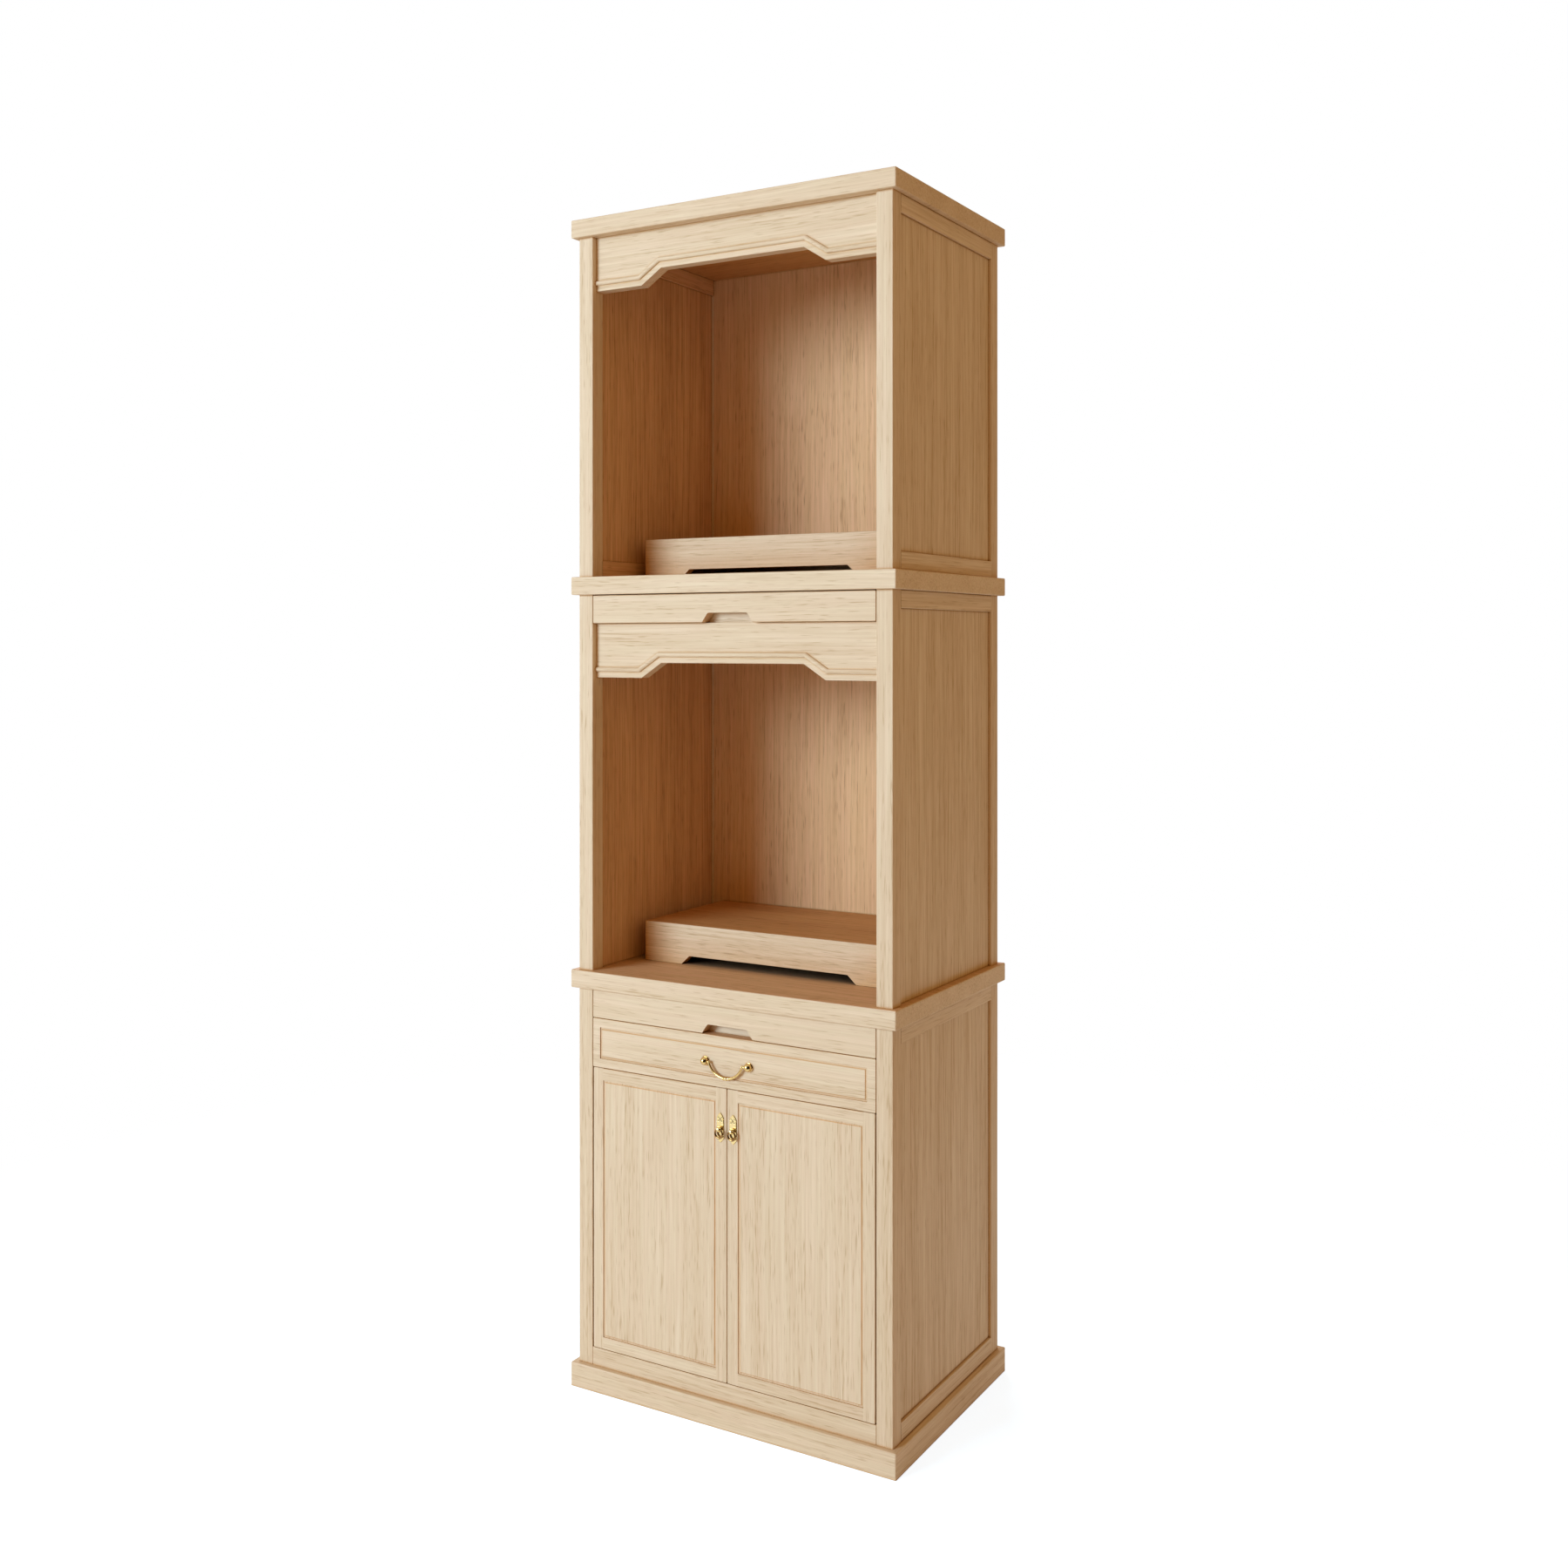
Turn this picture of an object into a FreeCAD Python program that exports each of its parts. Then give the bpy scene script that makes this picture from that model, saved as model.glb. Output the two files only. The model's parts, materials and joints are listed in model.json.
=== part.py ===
import FreeCAD, Part

import math
import os

# Altar cabinet in three stacked tiers: a cupboard with a drawer and an offering tray, then two open
# niches with a low stand in each and a second tray over the middle one. Millimetres. The origin is
# the middle of the footprint on the floor: +X to the right, +Y to the back, +Z up.

# Overall size, and the stack from the floor up
WIDTH = 610.0
DEPTH = 420.0
OVERHANG = 10.0          # slabs and plinth stand this far outside the posts
PLINTH = 40.0            # height of the plinth, and the width of its bars
SLAB = 30.0
LOWER_HEIGHT = 630.0
MIDDLE_HEIGHT = 630.0
TOP_HEIGHT = 570.0

# Sections and joints of the frames
POST = 28.0
RAIL = 28.0              # height of the side and back rails
PANEL = 18.0             # thickness of the side panels
PANEL_SETBACK = 5.0      # side panels lie this far inside the posts, on both faces
BACK_PANEL = 12.0
TONGUE = 6.0             # thickness and depth of every panel tongue
TENON = 10.0
TENON_THICK = 12.0
TENON_SHOULDER = 6.0     # from a rail's edge to its tenon
EDGE = 2.0               # rounding of slabs, plinth and stands
FRONT_EDGE = 1.2         # rounding of the posts and of the fronts' rims
CORNER = 2.0             # rounding of the corners of trays, drawer and doors
FINE_EDGE = 1.0
DOWEL_RADIUS = 3.5
DOWEL_IN_SLAB = 12.0
DOWEL_IN_POST = 18.0

# Fronts, flush with the posts
FRONT = 20.0             # thickness
SEAM = 0.6               # between a front and its neighbours
SWING_GAP = 2.0          # beside the doors, whose front corners turn there
MEETING_GAP = 1.2        # between the doors
FRONT_RAIL_TOP = 69.5
DOOR = (70.1, 538.8)
DRAWER = (539.4, 621.4)
TRAY = (622.0, 669.0)
TRAY_STEP = 660.0        # the middle tray is this far above the lower one

# Raised fields on doors and drawer
DOOR_BORDER = 20.0
DRAWER_BORDER = 15.0
MARGIN = 2.5             # flat round the field, and its depth under the frame's face
MARGIN_DEPTH = 1.6
BEVEL = 1.6
FIELD_DEPTH = 0.5

# Trays
TRAY_BOARD = (640.0, 655.0)
TRAY_HALF_WIDTH = 256.5
TRAY_BACK = 130.0
TRAY_GROOVE = 6.0        # the board's front edge enters the tray front by this much
NOTCH_HEIGHT = 15.5
NOTCH_BOTTOM = 48.0      # half widths of the finger notch
NOTCH_TOP = 37.0
NOTCH_ROUND = 5.0
GRIP = 5.0               # height of the finger groove in the notch's roof
GRIP_SETBACK = 7.0       # from the tray's face to the groove
GRIP_WIDTH = 6.0
GRIP_HALF_LENGTH = 31.0
RUNNER = (633.0, 665.0)
RUNNER_THICK = 20.0
RUNNER_GROOVE = 10.0
RUNNING_GAP = 0.5

# Cross stretchers behind the fronts
STRETCHER_SETBACK = 1.0  # behind the fronts' backs
DOOR_SWEEP = 6.0         # the same over the doors, whose back corners swing past here
STRETCHER = 28.0
TRAY_STRETCHER = (611.0, 638.0)
DRAWER_STRETCHER = (525.0, 549.0)
APRON_STRETCHER = 18.0   # height, on top of the middle apron

# Aprons
APRON_SETBACK = 10.5     # behind the posts' fronts
APRON = 20.0
APRON_HEIGHT = 90.0
APRON_RISE = 25.0        # how far the middle of the lower edge is raised
APRON_FLAT = 135.0       # half width of the raised middle
APRON_FOOT = 174.0       # half width where the lower edge is down again
BEAD_RADIUS = 4.0
BEAD_LIFT = 13.5         # bead's middle above the lower edge

# Drawer box and its slides
BOX_HALF_WIDTH = 254.0
BOX_SIDE = 12.0
BOX = (552.0, 606.0)
BOX_BACK = 150.0
BOX_BOTTOM = (558.0, 564.0)
BOX_GROOVE = 5.0
SIDE_TONGUE = 8.0        # the sides enter the drawer front by this much
SLIDE = (560.0, 596.0)
SLIDE_SHEET = 1.5
SLIDE_REACH = 11.0
SLIDE_END = 170.0

# Door pivots
PIVOT_INSET = 10.0       # from the door's outer edge
PIVOT_DEPTH = 7.0        # behind the door's face
PIVOT_RADIUS = 2.5
PIVOT_PLAY = 0.05
PIN_IN_DOOR = 12.0
PIN_IN_RAIL = 14.5
FLANGE_RADIUS = 4.5
FLANGE = 1.2
FLANGE_SEAT = 0.9        # depth of the seat for the flange in the door's foot
ARM = (536.5, 538.5)
ARM_HALF_WIDTH = 3.0
ARM_IN_STRETCHER = 20.0
POCKET = 2.8             # depth of the pocket for the arm in the door's top
POCKET_FRONT = 5.1       # from the pivot to the pocket's front wall
UPPER_PIN = 10.0
DOOR_TENON = 6.0

# Door catch
CATCH_HALF_WIDTH = 20.0
CATCH = (511.0, 525.0)
CATCH_DEPTH = 16.0
STRIKE = 14.0
STRIKE_THICK = 1.2
STRIKE_INSET = 4.0

# Screws
SCREW_RADIUS = 2.0
SCREW_HEAD_RADIUS = 4.0
SCREW_HEAD = 2.0
SCREW_LENGTH = 16.0
SLIDE_SCREW_Y = (-150.0, 150.0)

# Bail pull on the drawer
BAIL_CENTRES = 82.0
BAIL_HEIGHT = 579.0
BAIL_AXIS = 5.5          # from the drawer's face to the bail's pivot
BAIL_WIRE = 2.25
BAIL_PIN = 1.6
BAIL_HALF_WIDTH = 31.5
BAIL_LOWEST = 554.0
COLLAR_RADIUS = 3.1
COLLAR = 1.4
COLLAR_OFFSET = 2.5
ROSE_RADIUS = 7.2
ROSE = 1.0
KNOB_RADIUS = 6.5
KNOB_CENTRE = 3.7        # from the drawer's face to the middle of the knob's ball
SHANK_RADIUS = 2.0
NUT_ACROSS_FLATS = 7.0
NUT = 3.0

# Ring pulls on the doors
PLATE_X = 12.0
PLATE_WIDTH = 13.5
PLATE_THICK = 1.5
PLATE = (452.0, 500.0)
PLATE_POINT = 9.0        # height of the pointed ends
PLATE_BEND = 5.4         # half width where a pointed end bends, half way up it
EYE_HEIGHT = 473.75
EYE_AXIS = 5.5           # from the door's face to the eye's axis
EYE_RADIUS = 3.9
EYE_HOLE = 2.6
EYE_THICK = 4.0
RING_RADIUS = 6.75
RING_WIRE = 1.75

# Stands in the niches
STAND_HALF_WIDTH = 245.0
STAND_FRONT = -80.0
STAND_BACK = 170.0
STAND_HEIGHT = 68.0
STAND_BOARD = 15.0
STAND_NOTCH = 15.0
STAND_NOTCH_BOTTOM = 169.0
STAND_NOTCH_TOP = 153.0
STAND_LIFT = 0.3         # clearance over the slab

# Cupboard floor and niche ceiling
FLOOR = (54.0, 69.0)
CEILING = (1262.0, 1271.0)

# Places worked out from the driving dimensions
HALF_WIDTH = WIDTH / 2
HALF_DEPTH = DEPTH / 2
OUTER_X = HALF_WIDTH - OVERHANG
OUTER_Y = HALF_DEPTH - OVERHANG
INNER_X = OUTER_X - POST
INNER_Y = OUTER_Y - POST
POST_X = (INNER_X + OUTER_X) / 2
POST_Y = (INNER_Y + OUTER_Y) / 2
PANEL_IN = INNER_X + PANEL_SETBACK
PANEL_OUT = PANEL_IN + PANEL
LOWER = (PLINTH, PLINTH + LOWER_HEIGHT)
ALTAR = (LOWER[1], LOWER[1] + SLAB)
MIDDLE = (ALTAR[1], ALTAR[1] + MIDDLE_HEIGHT)
UPPER = (MIDDLE[1], MIDDLE[1] + SLAB)
TOP = (UPPER[1], UPPER[1] + TOP_HEIGHT)
CROWN = (TOP[1], TOP[1] + SLAB)
FACE = -OUTER_Y
FRONT_BACK = FACE + FRONT
FRONT_HALF_WIDTH = INNER_X - SEAM
DOOR_EDGE = INNER_X - SWING_GAP
STRETCHER_FRONT = FRONT_BACK + STRETCHER_SETBACK
PIVOT_X = DOOR_EDGE - PIVOT_INSET
PIVOT_Y = FACE + PIVOT_DEPTH
SLIDE_MIDDLE = (SLIDE[0] + SLIDE[1]) / 2
MIDDLE_APRON_TOP = TRAY[0] + TRAY_STEP - SEAM

X_AXIS = FreeCAD.Vector(1, 0, 0)
Y_AXIS = FreeCAD.Vector(0, 1, 0)
Z_AXIS = FreeCAD.Vector(0, 0, 1)
ORIGIN = FreeCAD.Vector(0, 0, 0)


def point(x, y, z):
    return FreeCAD.Vector(x, y, z)


def block(x, y, z):
    """A box between its two limits along X, Y and Z."""
    return Part.makeBox(x[1] - x[0], y[1] - y[0], z[1] - z[0], point(x[0], y[0], z[0]))


def both_ways(half):
    """Limits that reach as far to each side of the middle."""
    return -half, half


def about(middle, size):
    """Limits of a size about its middle."""
    return middle - size / 2, middle + size / 2


def raised(limits, lift):
    """Limits moved up by a lift."""
    return limits[0] + lift, limits[1] + lift


def prism(corners, direction):
    """The polygon through the corners, carried along a direction."""
    return Part.Face(Part.makePolygon(corners + corners[:1])).extrude(direction)


def rod(radius, start, end):
    """A round bar from one point to another."""
    run = end - start
    return Part.makeCylinder(radius, run.Length, start, run)


def lies_in(edge, axis, value):
    """True if the edge lies in the plane where X, Y or Z (axis 0, 1 or 2) has the value."""
    return all(abs(v.Point[axis] - value) < 1e-4 for v in edge.Vertexes)


def runs_along(edge, axis):
    """True if the edge is straight and runs along X, Y or Z (axis 0, 1 or 2)."""
    ends = [v.Point for v in edge.Vertexes]
    return len(ends) == 2 and abs(abs(ends[1][axis] - ends[0][axis]) - edge.Length) < 1e-4


def eased(shape, radius, chosen):
    """The shape with the edges that chosen() accepts rounded."""
    return shape.makeFillet(radius, [edge for edge in shape.Edges if chosen(edge)])


def fitted(host, guests):
    """The host with a recess cut for every guest that enters it."""
    return host.cut(guests)


def mirrored(shape):
    """The shape's mirror image across the cabinet's middle plane."""
    return shape.mirror(ORIGIN, X_AXIS)


def pair(shape):
    """A right-hand piece and its left-hand twin."""
    return [shape, mirrored(shape)]


def plinth_bars():
    """Front, back, left and right bars of the plinth, mitred at the corners."""
    ring = block(both_ways(HALF_WIDTH), both_ways(HALF_DEPTH), (0, PLINTH))
    ring = eased(ring, EDGE, lambda e: runs_along(e, 2) or lies_in(e, 2, PLINTH))
    ring = ring.cut(block(both_ways(HALF_WIDTH - PLINTH), both_ways(HALF_DEPTH - PLINTH), (0, PLINTH)))
    outer = [point(x, y, 0) for x, y in ((-HALF_WIDTH, -HALF_DEPTH), (HALF_WIDTH, -HALF_DEPTH),
                                         (HALF_WIDTH, HALF_DEPTH), (-HALF_WIDTH, HALF_DEPTH))]
    inner = [point(math.copysign(abs(p.x) - PLINTH, p.x), math.copysign(abs(p.y) - PLINTH, p.y), 0)
             for p in outer]
    bars = []
    for n in range(4):
        m = (n + 1) % 4
        bars.append(ring.common(prism([outer[n], outer[m], inner[m], inner[n]], Z_AXIS * PLINTH)))
    front, right, back, left = bars
    return front, back, left, right


def posts(tier):
    """The four square posts of a tier, softly rounded in front and behind."""
    made = []
    for side in (-1, 1):
        for end in (-1, 1):
            x = sorted((side * INNER_X, side * OUTER_X))
            y = sorted((end * INNER_Y, end * OUTER_Y))
            post = block(x, y, tier)
            post = eased(post, FRONT_EDGE, lambda e: runs_along(e, 2) and lies_in(e, 1, end * OUTER_Y))
            made.append(eased(post, FINE_EDGE, lambda e: runs_along(e, 2) and lies_in(e, 1, end * INNER_Y)))
    return made


def side_rail(bottom):
    """A right-hand rail between front and back post, flush with them, with a tenon at each end."""
    bar = block((INNER_X, OUTER_X), both_ways(INNER_Y), (bottom, bottom + RAIL))
    bar = eased(bar, FINE_EDGE, lambda e: runs_along(e, 1))
    tenon = block(about(POST_X, TENON_THICK), both_ways(INNER_Y + TENON),
                  (bottom + TENON_SHOULDER, bottom + RAIL - TENON_SHOULDER))
    return bar.fuse(tenon).removeSplitter()


def back_rail(bottom):
    """A rail across the back, behind the back panel, with a tenon at each end."""
    y = (INNER_Y + BACK_PANEL, OUTER_Y)
    bar = block(both_ways(INNER_X), y, (bottom, bottom + RAIL))
    tenon = block(both_ways(INNER_X + TENON), about(sum(y) / 2, TENON),
                  (bottom + TENON_SHOULDER, bottom + RAIL - TENON_SHOULDER))
    return bar.fuse(tenon).removeSplitter()


def side_panel(low, high):
    """A right-hand panel, set back from the posts, with a tongue all round."""
    body = block((PANEL_IN, PANEL_OUT), both_ways(INNER_Y), (low, high))
    tongue = block(about(POST_X, TONGUE), both_ways(INNER_Y + TONGUE), (low - TONGUE, high + TONGUE))
    return body.fuse(tongue).removeSplitter()


def back_panel(tier):
    """The panel between the back posts, flush with their inner faces, with a tongue at each side."""
    y = (INNER_Y, INNER_Y + BACK_PANEL)
    body = block(both_ways(INNER_X), y, tier)
    tongue = block(both_ways(INNER_X + TONGUE), about(sum(y) / 2, TONGUE), tier)
    return body.fuse(tongue).removeSplitter()


def slab(level):
    """A board across a whole tier, with rounded edges."""
    board = block(both_ways(HALF_WIDTH), both_ways(HALF_DEPTH), level)
    return eased(board, EDGE, lambda e: True)


def dowels(low, high):
    """One upright dowel in the middle of each post, from low to high."""
    return [rod(DOWEL_RADIUS, point(x, y, low), point(x, y, high))
            for x in both_ways(POST_X) for y in both_ways(POST_Y)]


def stretcher(z, setback=STRETCHER_SETBACK):
    """A cross rail behind the fronts, notched round the front posts."""
    front = FRONT_BACK + setback
    between = block(both_ways(INNER_X), (front, -INNER_Y), z)
    behind = block(both_ways(PANEL_IN), (-INNER_Y, front + STRETCHER), z)
    return between.fuse(behind).removeSplitter()


def front_rail():
    """The rail under the doors, with a tenon in each front post."""
    z = (LOWER[0], FRONT_RAIL_TOP)
    bar = block(both_ways(INNER_X), (FACE, FRONT_BACK), z)
    bar = eased(bar, FRONT_EDGE, lambda e: lies_in(e, 1, FACE) and not lies_in(e, 2, LOWER[0]))
    tenon = block(both_ways(INNER_X + TENON), about(FACE + FRONT / 2, TENON_THICK),
                  (z[0] + TENON_SHOULDER, z[1] - TENON_SHOULDER))
    return bar.fuse(tenon).removeSplitter()


def apron(top):
    """A valance between the front posts: its lower edge steps up in the middle on two straight slopes,
    and a half-round bead follows that edge."""
    y = (FACE + APRON_SETBACK, FACE + APRON_SETBACK + APRON)
    low = top - APRON_HEIGHT
    right = [(APRON_FLAT, low + APRON_RISE), (APRON_FOOT, low), (INNER_X, low)]
    edge = [(-x, z) for x, z in reversed(right)] + right
    board = prism([point(x, y[0], z) for x, z in edge + [(INNER_X, top), (-INNER_X, top)]], Y_AXIS * APRON)
    slope = math.atan2(APRON_RISE, APRON_FOOT - APRON_FLAT)
    shift = BEAD_LIFT * math.tan(slope / 2)
    line = [point(x if abs(x) == INNER_X else x + math.copysign(shift, x), y[0], z + BEAD_LIFT)
            for x, z in edge]
    start = line[0]
    arc = Part.Arc(start - Z_AXIS * BEAD_RADIUS, start - Y_AXIS * BEAD_RADIUS, start + Z_AXIS * BEAD_RADIUS)
    chord = Part.LineSegment(start + Z_AXIS * BEAD_RADIUS, start - Z_AXIS * BEAD_RADIUS)
    sweep = Part.BRepOffsetAPI.MakePipeShell(Part.makePolygon(line))
    sweep.setTransitionMode(1)
    sweep.add(Part.Wire([arc.toShape(), chord.toShape()]))
    sweep.build()
    sweep.makeSolid()
    return board.fuse(sweep.shape()).removeSplitter()


def raised_field(x, z):
    """The raised middle of a front: a low frustum whose bevel climbs from the margin to the field."""
    foot, crest = MARGIN, MARGIN + BEVEL
    return Part.makeWedge(x[0] + crest, FACE + FIELD_DEPTH, z[0] + crest, z[0] + foot, x[0] + foot,
                          x[1] - crest, FACE + MARGIN_DEPTH, z[1] - crest, z[1] - foot, x[1] - foot)


def front_board(x, z):
    """A front with its corners and its face edges rounded."""
    board = eased(block(x, (FACE, FRONT_BACK), z), CORNER, lambda e: runs_along(e, 1))
    return eased(board, FRONT_EDGE, lambda e: lies_in(e, 1, FACE))


def tray(lift):
    """Front and board of a pull-out tray; the front has a finger notch in its lower edge."""
    z = raised(TRAY, lift)
    board_y = (FRONT_BACK - TRAY_GROOVE, TRAY_BACK)
    board = block(both_ways(TRAY_HALF_WIDTH), board_y, raised(TRAY_BOARD, lift))
    roof = z[0] + NOTCH_HEIGHT
    corners = [point(-NOTCH_BOTTOM, FACE, z[0]), point(NOTCH_BOTTOM, FACE, z[0]),
               point(NOTCH_TOP, FACE, roof), point(-NOTCH_TOP, FACE, roof)]
    notch = prism(corners, Y_AXIS * FRONT)
    notch = eased(notch, NOTCH_ROUND, lambda e: runs_along(e, 1) and lies_in(e, 2, roof))
    grip_y = (FACE + GRIP_SETBACK, FACE + GRIP_SETBACK + GRIP_WIDTH)
    grip = block(both_ways(GRIP_HALF_LENGTH), grip_y, (roof, roof + GRIP))
    front = front_board(both_ways(FRONT_HALF_WIDTH), z).cut([notch, grip])
    return fitted(front, [board]), board


def tray_runner(lift):
    """A right-hand runner on the side frame, with a groove that the tray board slides in."""
    z = raised(RUNNER, lift)
    groove = raised(TRAY_BOARD, lift)
    y = (STRETCHER_FRONT + STRETCHER, INNER_Y)
    bar = block((INNER_X - RUNNER_THICK, INNER_X), y, z)
    return bar.cut(block((INNER_X - RUNNER_THICK, INNER_X - RUNNER_THICK + RUNNER_GROOVE), y,
                         (groove[0] - RUNNING_GAP, groove[1] + RUNNING_GAP)))


def slide_channel():
    """A right-hand fixed slide: a sheet channel, open towards the drawer."""
    y = (STRETCHER_FRONT + STRETCHER_SETBACK, SLIDE_END)
    outer = block((INNER_X - SLIDE_REACH, INNER_X), y, SLIDE)
    return outer.cut(block((INNER_X - SLIDE_REACH, INNER_X - SLIDE_SHEET), y,
                           (SLIDE[0] + SLIDE_SHEET, SLIDE[1] - SLIDE_SHEET)))


def slide_bar():
    """A right-hand moving slide on the drawer's side: a channel that nests in the fixed one."""
    y = (FRONT_BACK, BOX_BACK)
    inset = SLIDE_SHEET + RUNNING_GAP
    x = (BOX_HALF_WIDTH, INNER_X - inset)
    z = (SLIDE[0] + inset, SLIDE[1] - inset)
    outer = block(x, y, z)
    return outer.cut(block((x[0] + SLIDE_SHEET, x[1]), y, (z[0] + SLIDE_SHEET, z[1] - SLIDE_SHEET)))


def screw(start, direction):
    """A screw with a flat round head; start is where the head meets the work."""
    tip = start + direction * SCREW_LENGTH
    head = rod(SCREW_HEAD_RADIUS, start - direction * SCREW_HEAD, start)
    return head.fuse(rod(SCREW_RADIUS, start, tip)).removeSplitter()


def slide_screws():
    """Screws through the right-hand slide channel into the side frame."""
    return [screw(point(INNER_X - SLIDE_SHEET, y, SLIDE_MIDDLE), X_AXIS) for y in SLIDE_SCREW_Y]


def bracket_screw():
    """Screw from below through the stretcher and the right-hand bracket's arm."""
    y = STRETCHER_FRONT + ARM_IN_STRETCHER - 2 * SCREW_HEAD_RADIUS
    return screw(point(PIVOT_X, y, DRAWER_STRETCHER[0]), Z_AXIS)


def on_pivot(radius, low, high):
    """A round bar on the right-hand door's pivot axis, between two heights."""
    return rod(radius, point(PIVOT_X, PIVOT_Y, low), point(PIVOT_X, PIVOT_Y, high))


def pivot_bracket():
    """Right-hand upper pivot: a flat arm let into the stretcher, with a pin that points down."""
    arm = block(about(PIVOT_X, 2 * ARM_HALF_WIDTH), (PIVOT_Y, STRETCHER_FRONT + ARM_IN_STRETCHER), ARM)
    end = on_pivot(ARM_HALF_WIDTH, *ARM)
    pin = on_pivot(PIVOT_RADIUS, ARM[0] - UPPER_PIN, ARM[1])
    return arm.fuse([end, pin]).removeSplitter()


def pivot_pin():
    """Right-hand lower pivot: a pin in the front rail with a flange that carries the door."""
    pin = on_pivot(PIVOT_RADIUS, FRONT_RAIL_TOP - PIN_IN_RAIL, DOOR[0] + PIN_IN_DOOR)
    flange = on_pivot(FLANGE_RADIUS, FRONT_RAIL_TOP, FRONT_RAIL_TOP + FLANGE)
    return pin.fuse(flange).removeSplitter()


def pivot_recesses():
    """What the right-hand door's outer stile loses to its pivots: pin holes, flange seat and arm pocket."""
    radius = PIVOT_RADIUS + PIVOT_PLAY
    lower = on_pivot(radius, DOOR[0], DOOR[0] + PIN_IN_DOOR + RUNNING_GAP)
    upper = on_pivot(radius, ARM[0] - UPPER_PIN - RUNNING_GAP, DOOR[1])
    seat = on_pivot(FLANGE_RADIUS + RUNNING_GAP, DOOR[0], DOOR[0] + FLANGE_SEAT)
    pocket = block((PIVOT_X - ARM_HALF_WIDTH - RUNNING_GAP, DOOR_EDGE),
                   (PIVOT_Y - POCKET_FRONT, FRONT_BACK), (DOOR[1] - POCKET, DOOR[1]))
    return [lower, upper, seat, pocket]


def door_panel(x, z):
    """A door's raised panel, with a tongue all round; x and z are the frame's opening."""
    body = block(x, (FACE + MARGIN_DEPTH, FRONT_BACK - TONGUE), z)
    tongue = block((x[0] - TONGUE, x[1] + TONGUE),
                   (FACE + MARGIN_DEPTH + MARGIN, FACE + MARGIN_DEPTH + MARGIN + TONGUE),
                   (z[0] - TONGUE, z[1] + TONGUE))
    return body.fuse([tongue, raised_field(x, z)]).removeSplitter()


def door_stile(x, inner):
    """An upright of a door frame, as long as the door is high, with a sharp inner edge."""
    bar = block(x, (FACE, FRONT_BACK), DOOR)
    bar = eased(bar, CORNER, lambda e: runs_along(e, 1) and not lies_in(e, 0, inner))
    return eased(bar, FRONT_EDGE, lambda e: lies_in(e, 1, FACE) and not lies_in(e, 0, inner))


def door_rail(x, z):
    """A cross piece of a door frame, with a tenon at each end."""
    bar = block(x, (FACE, FRONT_BACK), z)
    bar = eased(bar, FRONT_EDGE, lambda e: lies_in(e, 1, FACE) and any(lies_in(e, 2, end) for end in DOOR))
    tenon = block((x[0] - DOOR_TENON, x[1] + DOOR_TENON), about(FACE + FRONT / 2, TONGUE),
                  (z[0] + DOOR_TENON, z[1] - DOOR_TENON))
    return bar.fuse(tenon).removeSplitter()


def ring_plate():
    """Right-hand ring pull: a plate with pointed ends, an eye in front and a shank through the stile."""
    half = PLATE_WIDTH / 2
    right = [(0, PLATE[0]), (PLATE_BEND, PLATE[0] + PLATE_POINT / 2), (half, PLATE[0] + PLATE_POINT),
             (half, PLATE[1] - PLATE_POINT), (PLATE_BEND, PLATE[1] - PLATE_POINT / 2), (0, PLATE[1])]
    left = [(-x, z) for x, z in reversed(right[1:-1])]
    corners = [point(PLATE_X + x, FACE - PLATE_THICK, z) for x, z in right + left]
    plate = prism(corners, Y_AXIS * PLATE_THICK)
    thick = about(PLATE_X, EYE_THICK)
    axis_y = FACE - EYE_AXIS
    ends = [point(x, axis_y, EYE_HEIGHT) for x in thick]
    neck = block(thick, (axis_y, FACE - PLATE_THICK), about(EYE_HEIGHT, EYE_RADIUS * 2))
    shank = rod(SHANK_RADIUS, point(PLATE_X, FACE - PLATE_THICK, EYE_HEIGHT),
                point(PLATE_X, FRONT_BACK, EYE_HEIGHT))
    return plate.fuse([rod(EYE_RADIUS, *ends), neck, shank]).cut(rod(EYE_HOLE, *ends)).removeSplitter()


def ring():
    """Right-hand ring, hanging in its eye."""
    centre = point(PLATE_X, FACE - EYE_AXIS, EYE_HEIGHT - RING_RADIUS)
    return Part.makeTorus(RING_RADIUS, RING_WIRE, centre, Y_AXIS)


def strike():
    """Right-hand strike plate on the back of the door's meeting stile."""
    x = (MEETING_GAP / 2 + STRIKE_INSET, MEETING_GAP / 2 + STRIKE_INSET + STRIKE)
    return block(x, (FRONT_BACK, FRONT_BACK + STRIKE_THICK), CATCH)


def door_catch():
    """A magnetic catch for both doors, under the stretcher."""
    front = FRONT_BACK + STRIKE_THICK + RUNNING_GAP
    box = block(both_ways(CATCH_HALF_WIDTH), (front, front + CATCH_DEPTH), CATCH)
    return eased(box, FINE_EDGE, lambda e: runs_along(e, 2))


def door():
    """The right-hand door: stiles, rails and panel, then its ring plate and strike."""
    x = (MEETING_GAP / 2, DOOR_EDGE)
    opening_x = (x[0] + DOOR_BORDER, x[1] - DOOR_BORDER)
    opening_z = (DOOR[0] + DOOR_BORDER, DOOR[1] - DOOR_BORDER)
    panel = door_panel(opening_x, opening_z)
    rails = [door_rail(opening_x, (DOOR[0], opening_z[0])), door_rail(opening_x, (opening_z[1], DOOR[1]))]
    plate = ring_plate()
    meeting = fitted(door_stile((x[0], opening_x[0]), opening_x[0]), [panel, plate] + rails)
    hanging = fitted(door_stile((opening_x[1], x[1]), opening_x[1]), [panel] + rails + pivot_recesses())
    return [meeting, hanging], [fitted(r, [panel]) for r in rails], panel, plate, strike()


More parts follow.
